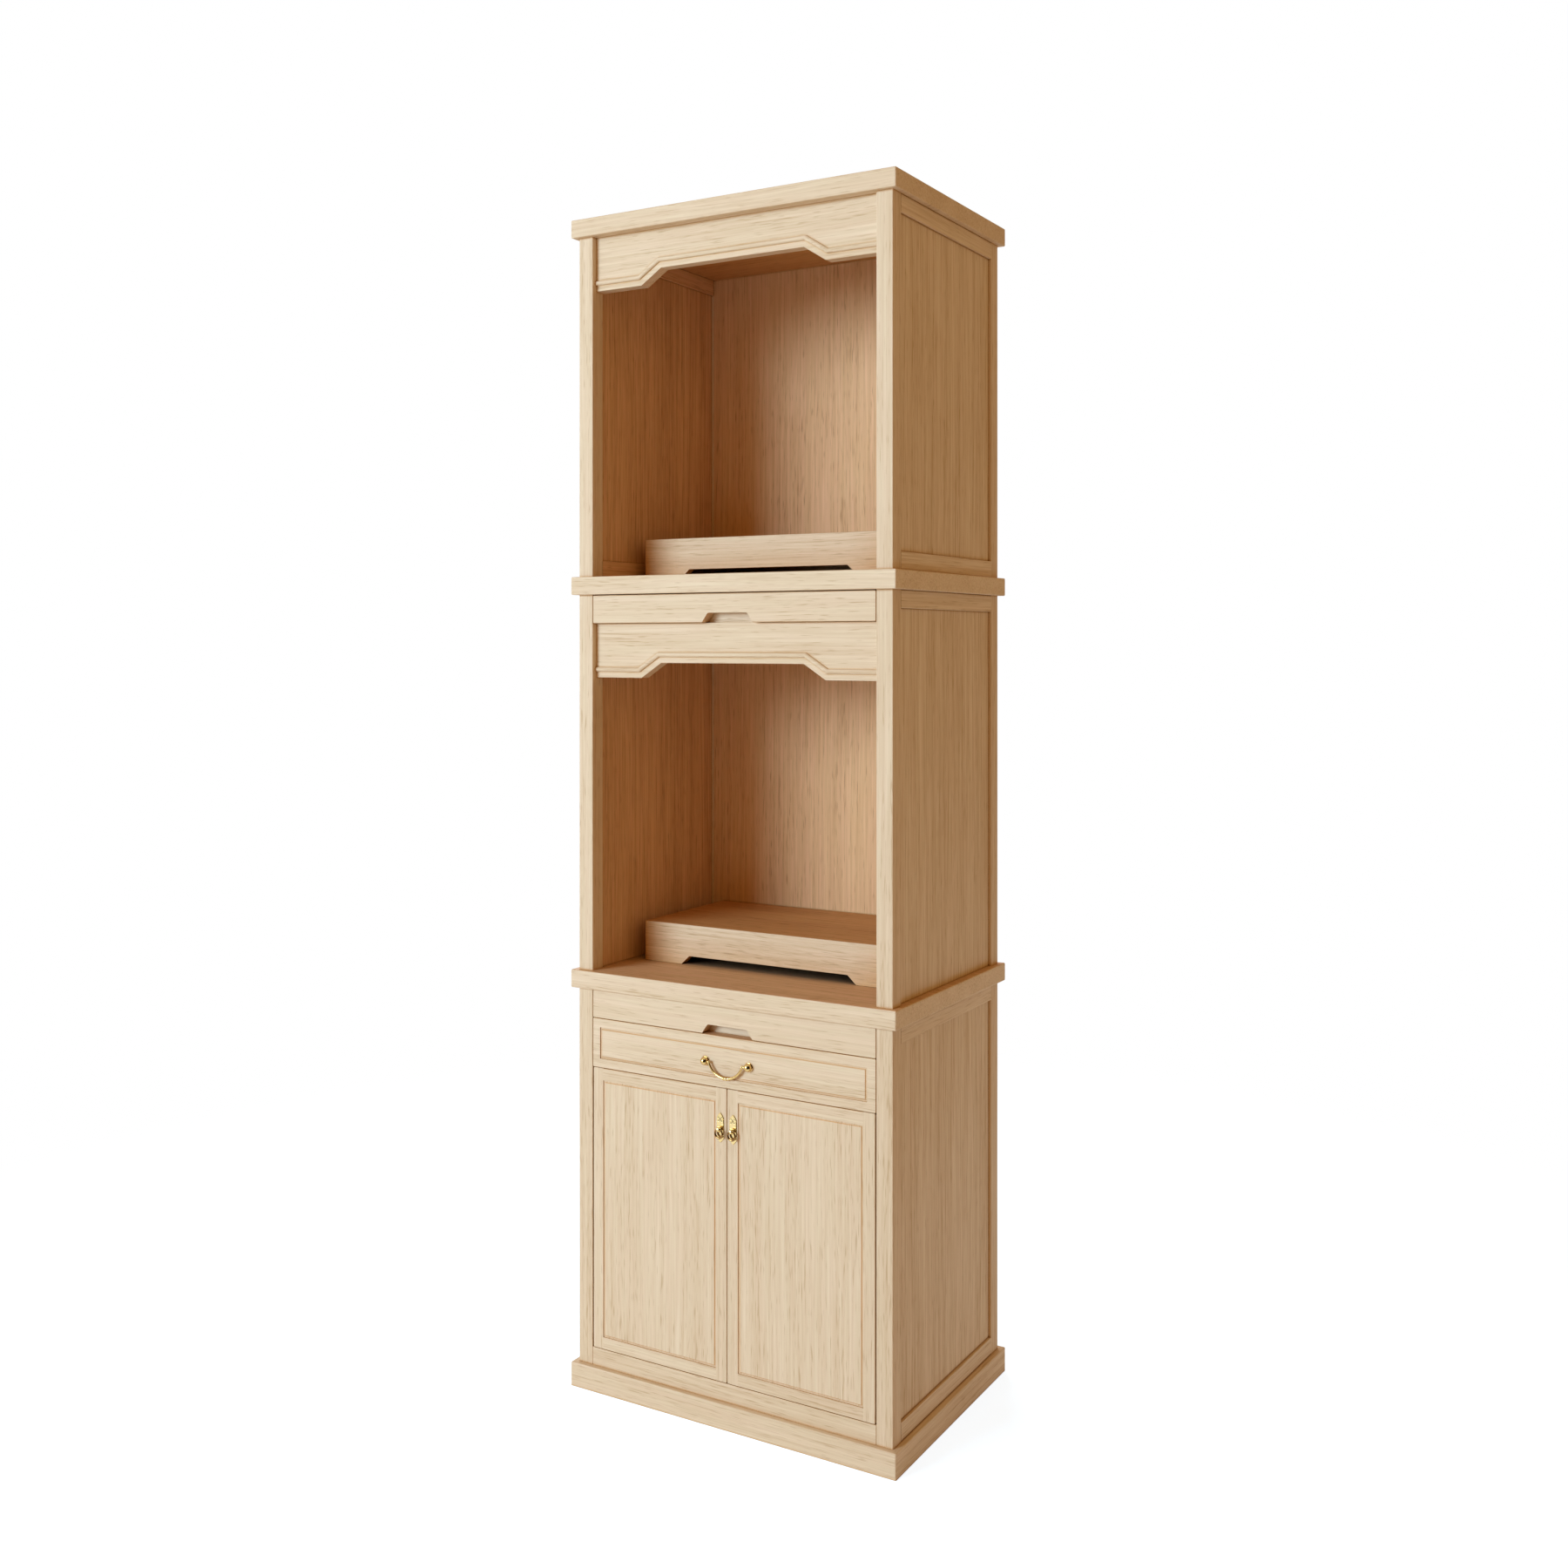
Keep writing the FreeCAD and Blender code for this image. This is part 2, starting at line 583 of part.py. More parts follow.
def drawer():
    """The drawer's front, sides, back and bottom."""
    inside = BOX_HALF_WIDTH - BOX_SIDE
    bottom = block(both_ways(inside + BOX_GROOVE), (FRONT_BACK - BOX_GROOVE, BOX_BACK), BOX_BOTTOM)
    side = block((inside, BOX_HALF_WIDTH), (FRONT_BACK - SIDE_TONGUE, BOX_BACK), BOX)
    sides = [fitted(s, [bottom]) for s in pair(side)]
    back = block(both_ways(inside), (BOX_BACK - BOX_SIDE, BOX_BACK), (BOX_BOTTOM[1], BOX[1]))
    x = (-FRONT_HALF_WIDTH + DRAWER_BORDER, FRONT_HALF_WIDTH - DRAWER_BORDER)
    z = (DRAWER[0] + DRAWER_BORDER, DRAWER[1] - DRAWER_BORDER)
    front = front_board(both_ways(FRONT_HALF_WIDTH), DRAWER)
    front = front.cut(block(x, (FACE, FACE + MARGIN_DEPTH), z)).fuse(raised_field(x, z)).removeSplitter()
    return fitted(front, sides + [bottom]), sides, back, bottom


def bail_post():
    """Right-hand post of the bail: a rose, most of a ball and a shank through the drawer front."""
    face = FACE + FIELD_DEPTH
    foot = math.sqrt(KNOB_RADIUS ** 2 - (KNOB_CENTRE - ROSE) ** 2)
    slant = KNOB_RADIUS * math.sqrt(0.5)
    tip = KNOB_CENTRE + KNOB_RADIUS

    def at(radius, reach):
        return point(BAIL_CENTRES / 2 + radius, face - reach, BAIL_HEIGHT)

    outline = [
        Part.LineSegment(at(0, 0), at(ROSE_RADIUS, 0)),
        Part.LineSegment(at(ROSE_RADIUS, 0), at(ROSE_RADIUS, ROSE)),
        Part.LineSegment(at(ROSE_RADIUS, ROSE), at(foot, ROSE)),
        Part.Arc(at(foot, ROSE), at(slant, KNOB_CENTRE + slant), at(0, tip)),
        Part.LineSegment(at(0, tip), at(0, 0)),
    ]
    knob = Part.Face(Part.Wire([line.toShape() for line in outline])).revolve(at(0, 0), Y_AXIS, 360)
    shank = rod(SHANK_RADIUS, at(0, 0), at(0, face - FRONT_BACK - NUT))
    hole = rod(BAIL_PIN + PIVOT_PLAY, at(-2 * KNOB_RADIUS, BAIL_AXIS), at(0, BAIL_AXIS))
    return knob.fuse(shank).cut(hole).removeSplitter()


def bail_nut():
    """Right-hand nut on the bail post's shank, inside the drawer."""
    radius = NUT_ACROSS_FLATS / 2 / math.cos(math.pi / 6)
    corners = [point(BAIL_CENTRES / 2 + radius * math.cos(n * math.pi / 3), FRONT_BACK,
                     BAIL_HEIGHT + radius * math.sin(n * math.pi / 3)) for n in range(6)]
    hole = rod(SHANK_RADIUS, point(BAIL_CENTRES / 2, FRONT_BACK, BAIL_HEIGHT),
               point(BAIL_CENTRES / 2, FRONT_BACK + NUT, BAIL_HEIGHT))
    return prism(corners, Y_AXIS * NUT).cut(hole)


def bail():
    """The swinging bail: a round wire bent to an arc, a pin at each end and two collars in the middle."""
    y = FACE + FIELD_DEPTH - BAIL_AXIS
    sag = BAIL_HEIGHT - BAIL_LOWEST - BAIL_WIRE
    radius = (BAIL_HALF_WIDTH ** 2 + sag ** 2) / (2 * sag)
    half_angle = math.degrees(math.asin(BAIL_HALF_WIDTH / radius))
    bottom = BAIL_HEIGHT - sag
    centre = point(0, y, bottom + radius)
    section = Part.Face(Part.Wire(Part.makeCircle(BAIL_WIRE, point(0, y, bottom), X_AXIS)))
    section.rotate(centre, Y_AXIS, -half_angle)
    wire = section.revolve(centre, Y_AXIS, 2 * half_angle)
    extras = []
    for side in (-1, 1):
        end = point(side * BAIL_HALF_WIDTH, y, BAIL_HEIGHT)
        extras.append(Part.makeSphere(BAIL_WIRE, end))
        tip = point(side * (BAIL_CENTRES / 2 - PIVOT_PLAY), y, BAIL_HEIGHT)
        extras.append(rod(BAIL_PIN, end, tip))
        x = about(side * COLLAR_OFFSET, COLLAR)
        extras.append(rod(COLLAR_RADIUS, point(x[0], y, bottom), point(x[1], y, bottom)))
    return wire.fuse(extras).removeSplitter()


def stand(floor):
    """A low hollow stand: top, front and ends mitred together, and a back board between the ends."""
    low = floor + STAND_LIFT
    high = floor + STAND_HEIGHT
    under = high - STAND_BOARD
    roof = floor + STAND_NOTCH
    x, y = both_ways(STAND_HALF_WIDTH), (STAND_FRONT, STAND_BACK)
    inner_x, inner_y = both_ways(STAND_HALF_WIDTH - STAND_BOARD), (STAND_FRONT + STAND_BOARD, STAND_BACK)
    shell = block(x, y, (low, high))
    shell = eased(shell, EDGE, lambda e: not (lies_in(e, 2, low) or lies_in(e, 1, STAND_BACK)))
    shell = shell.cut(block(inner_x, inner_y, (low, under)))
    front = Part.makeWedge(x[0], y[0], low, low, inner_x[0], x[1], inner_y[0], high, under, inner_x[1])
    across = prism([point(x[0], y[0], high), point(x[1], y[0], high),
                    point(inner_x[1], y[0], under), point(inner_x[0], y[0], under)], Y_AXIS * (y[1] - y[0]))
    top = shell.common(across).cut(front)
    notch = prism([point(-STAND_NOTCH_BOTTOM, y[0], low), point(STAND_NOTCH_BOTTOM, y[0], low),
                   point(STAND_NOTCH_TOP, y[0], roof), point(-STAND_NOTCH_TOP, y[0], roof)],
                  Y_AXIS * STAND_BOARD)
    ends = shell.cut([front, across])
    back = block(inner_x, (STAND_BACK - STAND_BOARD, STAND_BACK), (low, under))
    return [top, shell.common(front).cut(notch), ends, back]


def cabinet_nodes():
    """Every fixed wooden and metal piece of the carcass, by name."""
    nodes = {}
    tiers = {"lower": LOWER, "middle": MIDDLE, "top": TOP}
    rails = {name: (tier[0], tier[1] - RAIL) for name, tier in tiers.items()}
    rails["middle"] = rails["middle"][1:]
    slabs = {"altar_slab": ALTAR, "upper_slab": UPPER, "crown_slab": CROWN}
    pins = []
    for tier in tiers.values():
        pins += dowels(tier[0] - DOWEL_IN_SLAB, tier[0] + DOWEL_IN_POST)
        pins += dowels(tier[1] - DOWEL_IN_POST, tier[1] + DOWEL_IN_SLAB)
    front, back, left, right = (fitted(bar, pins) for bar in plinth_bars())
    nodes["plinth_rails"] = [front, back]
    nodes["plinth_returns"] = [left, right]
    rail_below = front_rail()
    nodes["side_rails"] = []
    nodes["back_rails"] = []
    panels = {}
    for name, tier in tiers.items():
        low = tier[0] + RAIL if len(rails[name]) == 2 else tier[0]
        panels[name] = pair(side_panel(low, tier[1] - RAIL))
        sides = [r for bottom in rails[name] for r in pair(side_rail(bottom))]
        backs = [back_rail(tier[0]), back_rail(tier[1] - RAIL)]
        behind = back_panel(tier)
        guests = panels[name] + sides + backs + [behind] + pins
        if name == "lower":
            guests.append(rail_below)
        nodes[name + "_posts"] = [fitted(p, guests) for p in posts(tier)]
        nodes[name + "_side_panels"] = panels[name]
        nodes[name + "_back_panel"] = [behind]
        nodes["side_rails"] += [fitted(r, panels[name]) for r in sides]
        nodes["back_rails"] += backs
    for name, level in slabs.items():
        nodes[name] = [fitted(slab(level), pins + panels["middle"])]
    nodes["post_dowels"] = pins
    nodes["lower_front_rail"] = [fitted(rail_below, pair(pivot_pin()))]
    nodes["cupboard_floor"] = [block(both_ways(INNER_X), (FRONT_BACK, INNER_Y), FLOOR)]
    nodes["middle_apron"] = [apron(MIDDLE_APRON_TOP)]
    nodes["top_apron"] = [apron(TOP[1])]
    nodes["niche_ceiling"] = [block(both_ways(PANEL_IN), (FACE + APRON_SETBACK + APRON, INNER_Y), CEILING)]
    return nodes


def fittings_nodes():
    """Stretchers, runners, slides, pivots and the catch, by name."""
    brackets = pair(pivot_bracket())
    slide_fixings = [s for one in slide_screws() for s in pair(one)]
    bracket_fixings = pair(bracket_screw())
    strip = block((INNER_X, PANEL_IN), both_ways(INNER_Y), SLIDE)
    above_apron = (MIDDLE_APRON_TOP, MIDDLE_APRON_TOP + APRON_STRETCHER)
    above_doors = stretcher(DRAWER_STRETCHER, DOOR_SWEEP)
    return {
        "tray_stretcher": [stretcher(TRAY_STRETCHER)],
        "drawer_stretcher": [fitted(above_doors, brackets + bracket_fixings)],
        "apron_stretcher": [stretcher(above_apron)],
        "tray_runners": pair(tray_runner(0)) + pair(tray_runner(TRAY_STEP)),
        "packing_strips": [fitted(s, slide_fixings) for s in pair(strip)],
        "slide_channels": [fitted(c, slide_fixings) for c in pair(slide_channel())],
        "pivot_brackets": [fitted(b, bracket_fixings) for b in brackets],
        "pivot_pins": pair(pivot_pin()),
        "door_catch": [door_catch()],
        "fixing_screws": slide_fixings + bracket_fixings,
    }


def moving_nodes():
    """Trays, drawer, doors and stands, by name."""
    nodes = {}
    for name, lift in (("lower", 0), ("middle", TRAY_STEP)):
        front, board = tray(lift)
        nodes[name + "_tray_front"] = [front]
        nodes[name + "_tray_board"] = [board]
    front, sides, back, bottom = drawer()
    bail_posts = pair(bail_post())
    nodes["drawer_front"] = [fitted(front, bail_posts)]
    nodes["drawer_sides"] = sides
    nodes["drawer_back"] = [back]
    nodes["drawer_bottom"] = [bottom]
    nodes["slide_bars"] = pair(slide_bar())
    nodes["bail_posts"] = bail_posts
    nodes["bail_nuts"] = pair(bail_nut())
    nodes["drawer_bail"] = [bail()]
    stiles, rails, panel, plate, strike_plate = door()
    right = {"door_stiles": stiles, "door_rails": rails, "door_panel": [panel], "ring_plate": [plate],
             "door_strike": [strike_plate], "ring": [ring()]}
    for name, shapes in right.items():
        nodes["right_" + name] = shapes
        nodes["left_" + name] = [mirrored(s) for s in shapes]
    nodes["middle_stand"] = stand(ALTAR[1])
    nodes["upper_stand"] = stand(UPPER[1])
    return nodes


def main():
    os.makedirs("parts", exist_ok=True)
    nodes = {**cabinet_nodes(), **fittings_nodes(), **moving_nodes()}
    panels = nodes["lower_side_panels"]
    nodes["lower_side_panels"] = [fitted(p, nodes["fixing_screws"]) for p in panels]
    for name, shapes in nodes.items():
        solids = [solid for shape in shapes for solid in shape.Solids]
        Part.makeCompound(solids).exportStep(f"parts/{name}.step")
        print(name, len(solids), "solids", all(s.isValid() for s in solids))
    print(len(nodes), "nodes")


main()
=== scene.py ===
import json
import math

import bpy
import numpy as np
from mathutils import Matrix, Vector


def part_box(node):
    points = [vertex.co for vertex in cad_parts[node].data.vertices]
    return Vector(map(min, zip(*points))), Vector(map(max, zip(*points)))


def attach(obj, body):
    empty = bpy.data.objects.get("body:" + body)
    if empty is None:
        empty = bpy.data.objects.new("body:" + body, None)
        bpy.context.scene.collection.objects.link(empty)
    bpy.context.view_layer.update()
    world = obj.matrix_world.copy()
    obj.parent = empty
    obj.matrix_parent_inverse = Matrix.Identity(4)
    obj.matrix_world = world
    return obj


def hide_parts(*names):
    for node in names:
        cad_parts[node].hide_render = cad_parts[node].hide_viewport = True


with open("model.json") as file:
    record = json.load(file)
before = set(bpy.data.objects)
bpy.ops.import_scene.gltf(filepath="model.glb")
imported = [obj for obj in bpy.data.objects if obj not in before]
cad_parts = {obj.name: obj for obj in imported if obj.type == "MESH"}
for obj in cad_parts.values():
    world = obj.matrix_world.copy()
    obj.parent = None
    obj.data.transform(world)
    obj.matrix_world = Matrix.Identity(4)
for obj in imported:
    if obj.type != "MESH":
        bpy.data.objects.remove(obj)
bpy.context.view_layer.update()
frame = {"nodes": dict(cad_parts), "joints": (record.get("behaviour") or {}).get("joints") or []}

MM = 0.001

# Places that the frame gives, in millimetres
PIVOTS = {joint["name"]: np.array(joint["pos_m"]) / MM for joint in frame["joints"] if "pos_m" in joint}
DRAWER_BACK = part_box("drawer_front")[1].y / MM
DOOR_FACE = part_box("left_door_stiles")[0].y / MM
DOOR_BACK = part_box("left_door_stiles")[1].y / MM
PLATE_LOW, PLATE_HIGH = (corner.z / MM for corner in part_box("left_ring_plate"))

# Bail and its posts: lengths in millimetres, angles in radians, and pairs of radius and reach
BAIL_REACH = 5.5
BAIL_HALF_WIDTH = 31.5
BAIL_SAG = 22.75
BAIL_X, BAIL_Y, BAIL_Z = PIVOTS["bail_swing"]
DRAWER_FIELD = BAIL_Y + BAIL_REACH
WIRE_RADIUS = 1.75
WIRE_SWELL = 0.5
SWELL_POWER = 0.8
COLLAR_OFFSET = 2.4
COLLAR_HALF_WIDTH = 0.95
COLLAR_RISE = 0.95
COLLAR_STRETCH = 0.16
END_BALL_RADIUS = 2.4
END_BALL_TO = math.pi * 0.77
PIN_RADIUS = 1.55
PIN_FROM, PIN_TO = 2.3, 9.0
POST_OFFSET = 41.0
SHANK_RADIUS = 2.0
THREAD_REACH = 3.0
ROSE_RADIUS = 7.2
ROSE_RIM = 0.4
ROSE_ROUND = 0.6
GROOVE = [(6.0, 0.95), (5.8, 1.1)]
KNOB_RADIUS = 6.5
KNOB_CENTRE = 3.7
KNOB_FROM = 1.2

# Ring plates and rings: lengths in millimetres, angles in radians, and pairs of radius and reach
PLATE_HALF_WIDTH = 6.75
PLATE_THICK = 1.5
PLATE_RIM = 0.5
BEVEL = 0.8
BEVEL_POWER = 0.6
TIP_LENGTH = 10.5
TIP_POWER = 1.9
NOTCH_UP = 11.2
NOTCH_DEPTH = 0.55
NOTCH_WIDTH = 0.75
SCROLL_UP = 37.5
SCROLL_GAP = 1.0
SCROLL_RADIUS = 4.2
SCROLL_LEAN = math.radians(58)
HOOK_RADIUS = 0.75
STROKE_WIDTH = 0.42
STROKE_DEPTH = 0.35
EYE_HOLE = 2.65
EYE_HALF_THICK = 0.62
EYE_HALF_WIDTH = 2.0
EYE_SPREAD = 0.5
EYE_DOME = math.pi * 0.7
EYE_DOME_POWER = 1.5
EYE_WIDE_POWER, EYE_DEEP_POWER = 0.6, 0.8
BOSS = [(3.7, 1.3), (3.6, 1.8), (3.1, 2.15), (2.2, 2.35)]
BOSS_TOP = 2.4
RING_RADIUS = 6.75
RING_WIRE = 1.6
RING_SWELL = 0.15

# Radius in millimetres, and angle, at which a section stops short of a pole or a tip, for a fan to shut
POLE = 0.01
POLE_ANGLE = 0.02

TO_FRONT = (0, -1, 0)


# Objects and shader nodes

def add(name, data):
    """A new object in the scene."""
    made = bpy.data.objects.new(name, data)
    bpy.context.scene.collection.objects.link(made)
    return made


def put(tree, kind, inputs=None, **settings):
    """Adds one shader node. Inputs maps socket names or numbers to constants or to other sockets."""
    made = tree.nodes.new(kind)
    for name, value in settings.items():
        setattr(made, name, value)
    for key, value in (inputs or {}).items():
        if isinstance(value, bpy.types.NodeSocket):
            tree.links.new(value, made.inputs[key])
        else:
            made.inputs[key].default_value = value
    return made


def calc(tree, operation, first, second=0.0):
    """One step of arithmetic."""
    return put(tree, "ShaderNodeMath", {0: first, 1: second}, operation=operation).outputs[0]


def vector(tree, operation, inputs):
    """One step of arithmetic on vectors."""
    return put(tree, "ShaderNodeVectorMath", inputs, operation=operation).outputs[0]


def spread(tree, value, low, high, to_low=0.0, to_high=1.0):
    """Carries value from the span low..high to the span to_low..to_high, held at both ends."""
    spans = {"From Min": low, "From Max": high, "To Min": to_low, "To Max": to_high}
    return put(tree, "ShaderNodeMapRange", {"Value": value, **spans}).outputs[0]


def about_zero(tree, value, span, amount):
    """Carries value from a span to minus amount .. amount."""
    return spread(tree, value, *span, -amount, amount)


def mixed(tree, share, first, second):
    """Colour between first and second."""
    return put(tree, "ShaderNodeMix", {0: share, 6: first, 7: second}, data_type="RGBA").outputs[2]


def object_place(tree):
    """The place on the piece, in metres."""
    return put(tree, "ShaderNodeTexCoord").outputs["Object"]


def mottle(tree, place, stretch, detail=2.0, roughness=0.5):
    """Noise on the place, with stretch as the number of its cells in a metre along each axis."""
    scaled = vector(tree, "MULTIPLY", {0: place, 1: stretch})
    settings = {"Vector": scaled, "Scale": 1.0, "Detail": detail, "Roughness": roughness}
    return put(tree, "ShaderNodeTexNoise", settings).outputs[0]


def new_finish(name):
    """An empty finish with one shader."""
    material = bpy.data.materials.new(name)
    material.use_nodes = True
    tree = material.node_tree
    return material, tree, tree.nodes["Principled BSDF"]


def bumped(tree, shader, height, depth):
    """Raises the surface by height times depth in metres."""
    made = put(tree, "ShaderNodeBump", {"Strength": 1.0, "Distance": depth, "Height": height})
    tree.links.new(made.outputs[0], shader.inputs["Normal"])


# Spans of a noise that a tone runs across, from a soft change to a hard one
SOFT, PLAIN, HARD = (0.25, 0.75), (0.3, 0.7), (0.35, 0.65)


# Wood

def tones(light, pink, dark, pore):
    """The four tones of a wood: straw and pink where it is light, the darker fibres, and the pores."""
    return [(*tone, 1.0) for tone in (light, pink, dark, pore)]


PALE = tones((0.805, 0.653, 0.470), (0.816, 0.646, 0.472), (0.590, 0.405, 0.235), (0.450, 0.280, 0.140))
# The next two sets of tones are painted shade: darker, warmer copies for faces that lie in shade
HONEY_SHADE = tones((0.785, 0.492, 0.262), (0.790, 0.480, 0.267), (0.510, 0.282, 0.125), (0.320, 0.165, 0.071))
AMBER_SHADE = tones((0.680, 0.365, 0.140), (0.685, 0.355, 0.143), (0.440, 0.210, 0.070), (0.270, 0.125, 0.040))
# Stain and painted shade where surfaces meet, darker where they are tightest
SEAM_STAIN_AND_SHADE = (0.63, 0.36, 0.145, 1.0)
DEEP_SEAM_STAIN_AND_SHADE = (0.20, 0.085, 0.028, 1.0)
# A nearly black painted shadow for the hollow under a stand
HOLLOW_SHADOW = (0.035, 0.015, 0.006, 1.0)

# The order of axes that puts the grain last
ACROSS = {"x": (1, 2, 0), "y": (0, 2, 1), "z": (0, 1, 2)}

# Cells in a metre of the noises that make the grain, twice across it and once along it
SWAY = (5.0, 5.0, 2.0)
BANDS = (26.0, 26.0, 0.8)
FLUSH = (90.0, 90.0, 5.0)
FIBRES = (230.0, 230.0, 3.6)
DASHES = (620.0, 620.0, 38.0)

# How far apart boards are cut and how far their fibres sway at most, in metres
BOARD_SHIFT = (3.0, 3.0, 9.0)
SWAY_REACH = (0.014, 0.014, 0.0)

# Shares of darkness that bands, fibres and boards add, and how bands and fibres crowd the pores
BAND_TONE, FIBRE_TONE, BOARD_TONE = 0.055, 0.26, 0.06
BAND_CROWD, FIBRE_CROWD = 0.05, 0.10
PORE_PEAKS = (0.64, 0.82)
PORE_TONE = 0.46

# Gloss and relief, with the relief in metres
FIBRE_ROUGH = (0.50, 0.60)
PORE_ROUGH = 0.15
WOOD_SPECULAR = 0.1
FIBRE_RELIEF = 0.35
WOOD_RELIEF = 0.00006

# How near, in metres, a surface has to be to count, and the open sky at a crowded place and at a free one
CORNER_REACH, WALL_REACH = 0.004, 0.12
CORNER_SKY, SHELTER_SKY, COVER_SKY = (0.36, 0.95), (0.36, 0.76), (0.14, 0.40)

# How crowded a place is when staining and painted shade are full, and how much they and the deeper ones
# cover
STAIN_AND_SHADE_FULL = 0.6
STAIN_AND_SHADE_SHARE, DEEP_STAIN_AND_SHADE_SHARE = 0.75, 0.9

# Half the width of the painted shade's edge at a middle plane, and its whole width behind an apron, in
# metres
SHADE_TONE_BLEND = 0.0005
APRON_SEAM = 0.0006

# What counts as facing a direction, on boards and on the flat of a front with rounded edges
FACING = (0.75, 0.95)
FACING_FLAT = (0.80, 0.98)


def near_middle(axis, distance):
    """Where the painted shade goes: nearer to the middle plane across axis than distance."""
    def share(tree, parts, facing):
        away = calc(tree, "ABSOLUTE", parts[axis])
        return spread(tree, away, distance - SHADE_TONE_BLEND, distance + SHADE_TONE_BLEND, 1.0, 0.0)
    return share


def behind(front):
    """Where the painted shade goes: behind the plane y = front."""
    def share(tree, parts, facing):
        return spread(tree, parts[1], front, front + APRON_SEAM)
    return share


def looks(up):
    """Where the painted shade goes: on faces that look up, or down where up is minus one."""
    def share(tree, parts, facing):
        return spread(tree, calc(tree, "MULTIPLY", facing[2], up), *FACING)
    return share


def edges(amount):
    """Where the painted shade goes: by amount on rounded edges and on faces that don't look to the front.
    """
    def share(tree, parts, facing):
        return spread(tree, calc(tree, "MULTIPLY", facing[1], -1.0), *FACING_FLAT, amount, 0.0)
    return share


def all_of(*masks):
    """Where the painted shade goes: where every one of the masks shows it."""
    def share(tree, parts, facing):
        product = 1.0
        for mask in masks:
            product = calc(tree, "MULTIPLY", product, mask(tree, parts, facing))
        return product
    return share


def nearness(tree, distance, low, high):
    """How other surfaces crowd a point within a distance: one where open sky is below low, and zero where
    it is above high."""
    open_sky = put(tree, "ShaderNodeAmbientOcclusion", {"Distance": distance}, samples=6).outputs["AO"]
    return spread(tree, open_sky, low, high, 1.0, 0.0)


def cut_boards(tree, place, parts, along, board):
    """Where in the tree each point of a board is. The place is turned so that its third axis follows the
    grain. Each board, a cell of the grid called board, is shifted by a chance of its own, and a slow
    noise sways the fibres. Also gives that chance, from zero to one."""
    cell = vector(tree, "SNAP", {0: place, 1: board})
    chance = put(tree, "ShaderNodeTexWhiteNoise", {"Vector": cell, "W": len(bpy.data.materials)},
                 noise_dimensions="4D").outputs
    turned = put(tree, "ShaderNodeCombineXYZ", {n: parts[axis] for n, axis in enumerate(ACROSS[along])})
    moved = vector(tree, "MULTIPLY_ADD", {0: chance["Color"], 1: BOARD_SHIFT, 2: turned.outputs[0]})
    sway = mottle(tree, moved, SWAY, detail=1.0)
    lean = vector(tree, "SCALE", {0: SWAY_REACH, 3: sway})
    return vector(tree, "ADD", {0: moved, 1: lean}), chance["Value"]


def open_pores(tree, grain, bands, fibres):
    """Pores: the peaks of a short stretched noise, which crowd in some bands and fibres."""
    dashes = mottle(tree, grain, DASHES, detail=0.0)
    crowd = calc(tree, "ADD", about_zero(tree, bands, HARD, BAND_CROWD),
                 about_zero(tree, fibres, PLAIN, FIBRE_CROWD))
    return spread(tree, calc(tree, "ADD", dashes, crowd), *PORE_PEAKS)


def darkness(tree, bands, fibres, chance, figure, depth):
    """How dark the wood is between the pores: bands and fibres about the mean of the board."""
    swing = calc(tree, "ADD", about_zero(tree, bands, PLAIN, BAND_TONE * figure),
                 about_zero(tree, fibres, SOFT, FIBRE_TONE * figure))
    mean = spread(tree, chance, 0.0, 1.0, depth - BOARD_TONE, depth + BOARD_TONE)
    return calc(tree, "ADD", swing, mean)


def stained_and_shaded(tree, colour, seams, stain_and_shade):
    """The colour with staining and painted shade where surfaces meet, darker where they are tightest."""
    crowded = nearness(tree, CORNER_REACH, *CORNER_SKY)
    colour = mixed(tree, spread(tree, crowded, 0.0, STAIN_AND_SHADE_FULL, 0.0, STAIN_AND_SHADE_SHARE * stain_and_shade), colour, SEAM_STAIN_AND_SHADE)
    return mixed(tree, spread(tree, crowded, seams, 1.0, 0.0, DEEP_STAIN_AND_SHADE_SHARE * stain_and_shade), colour, DEEP_SEAM_STAIN_AND_SHADE)


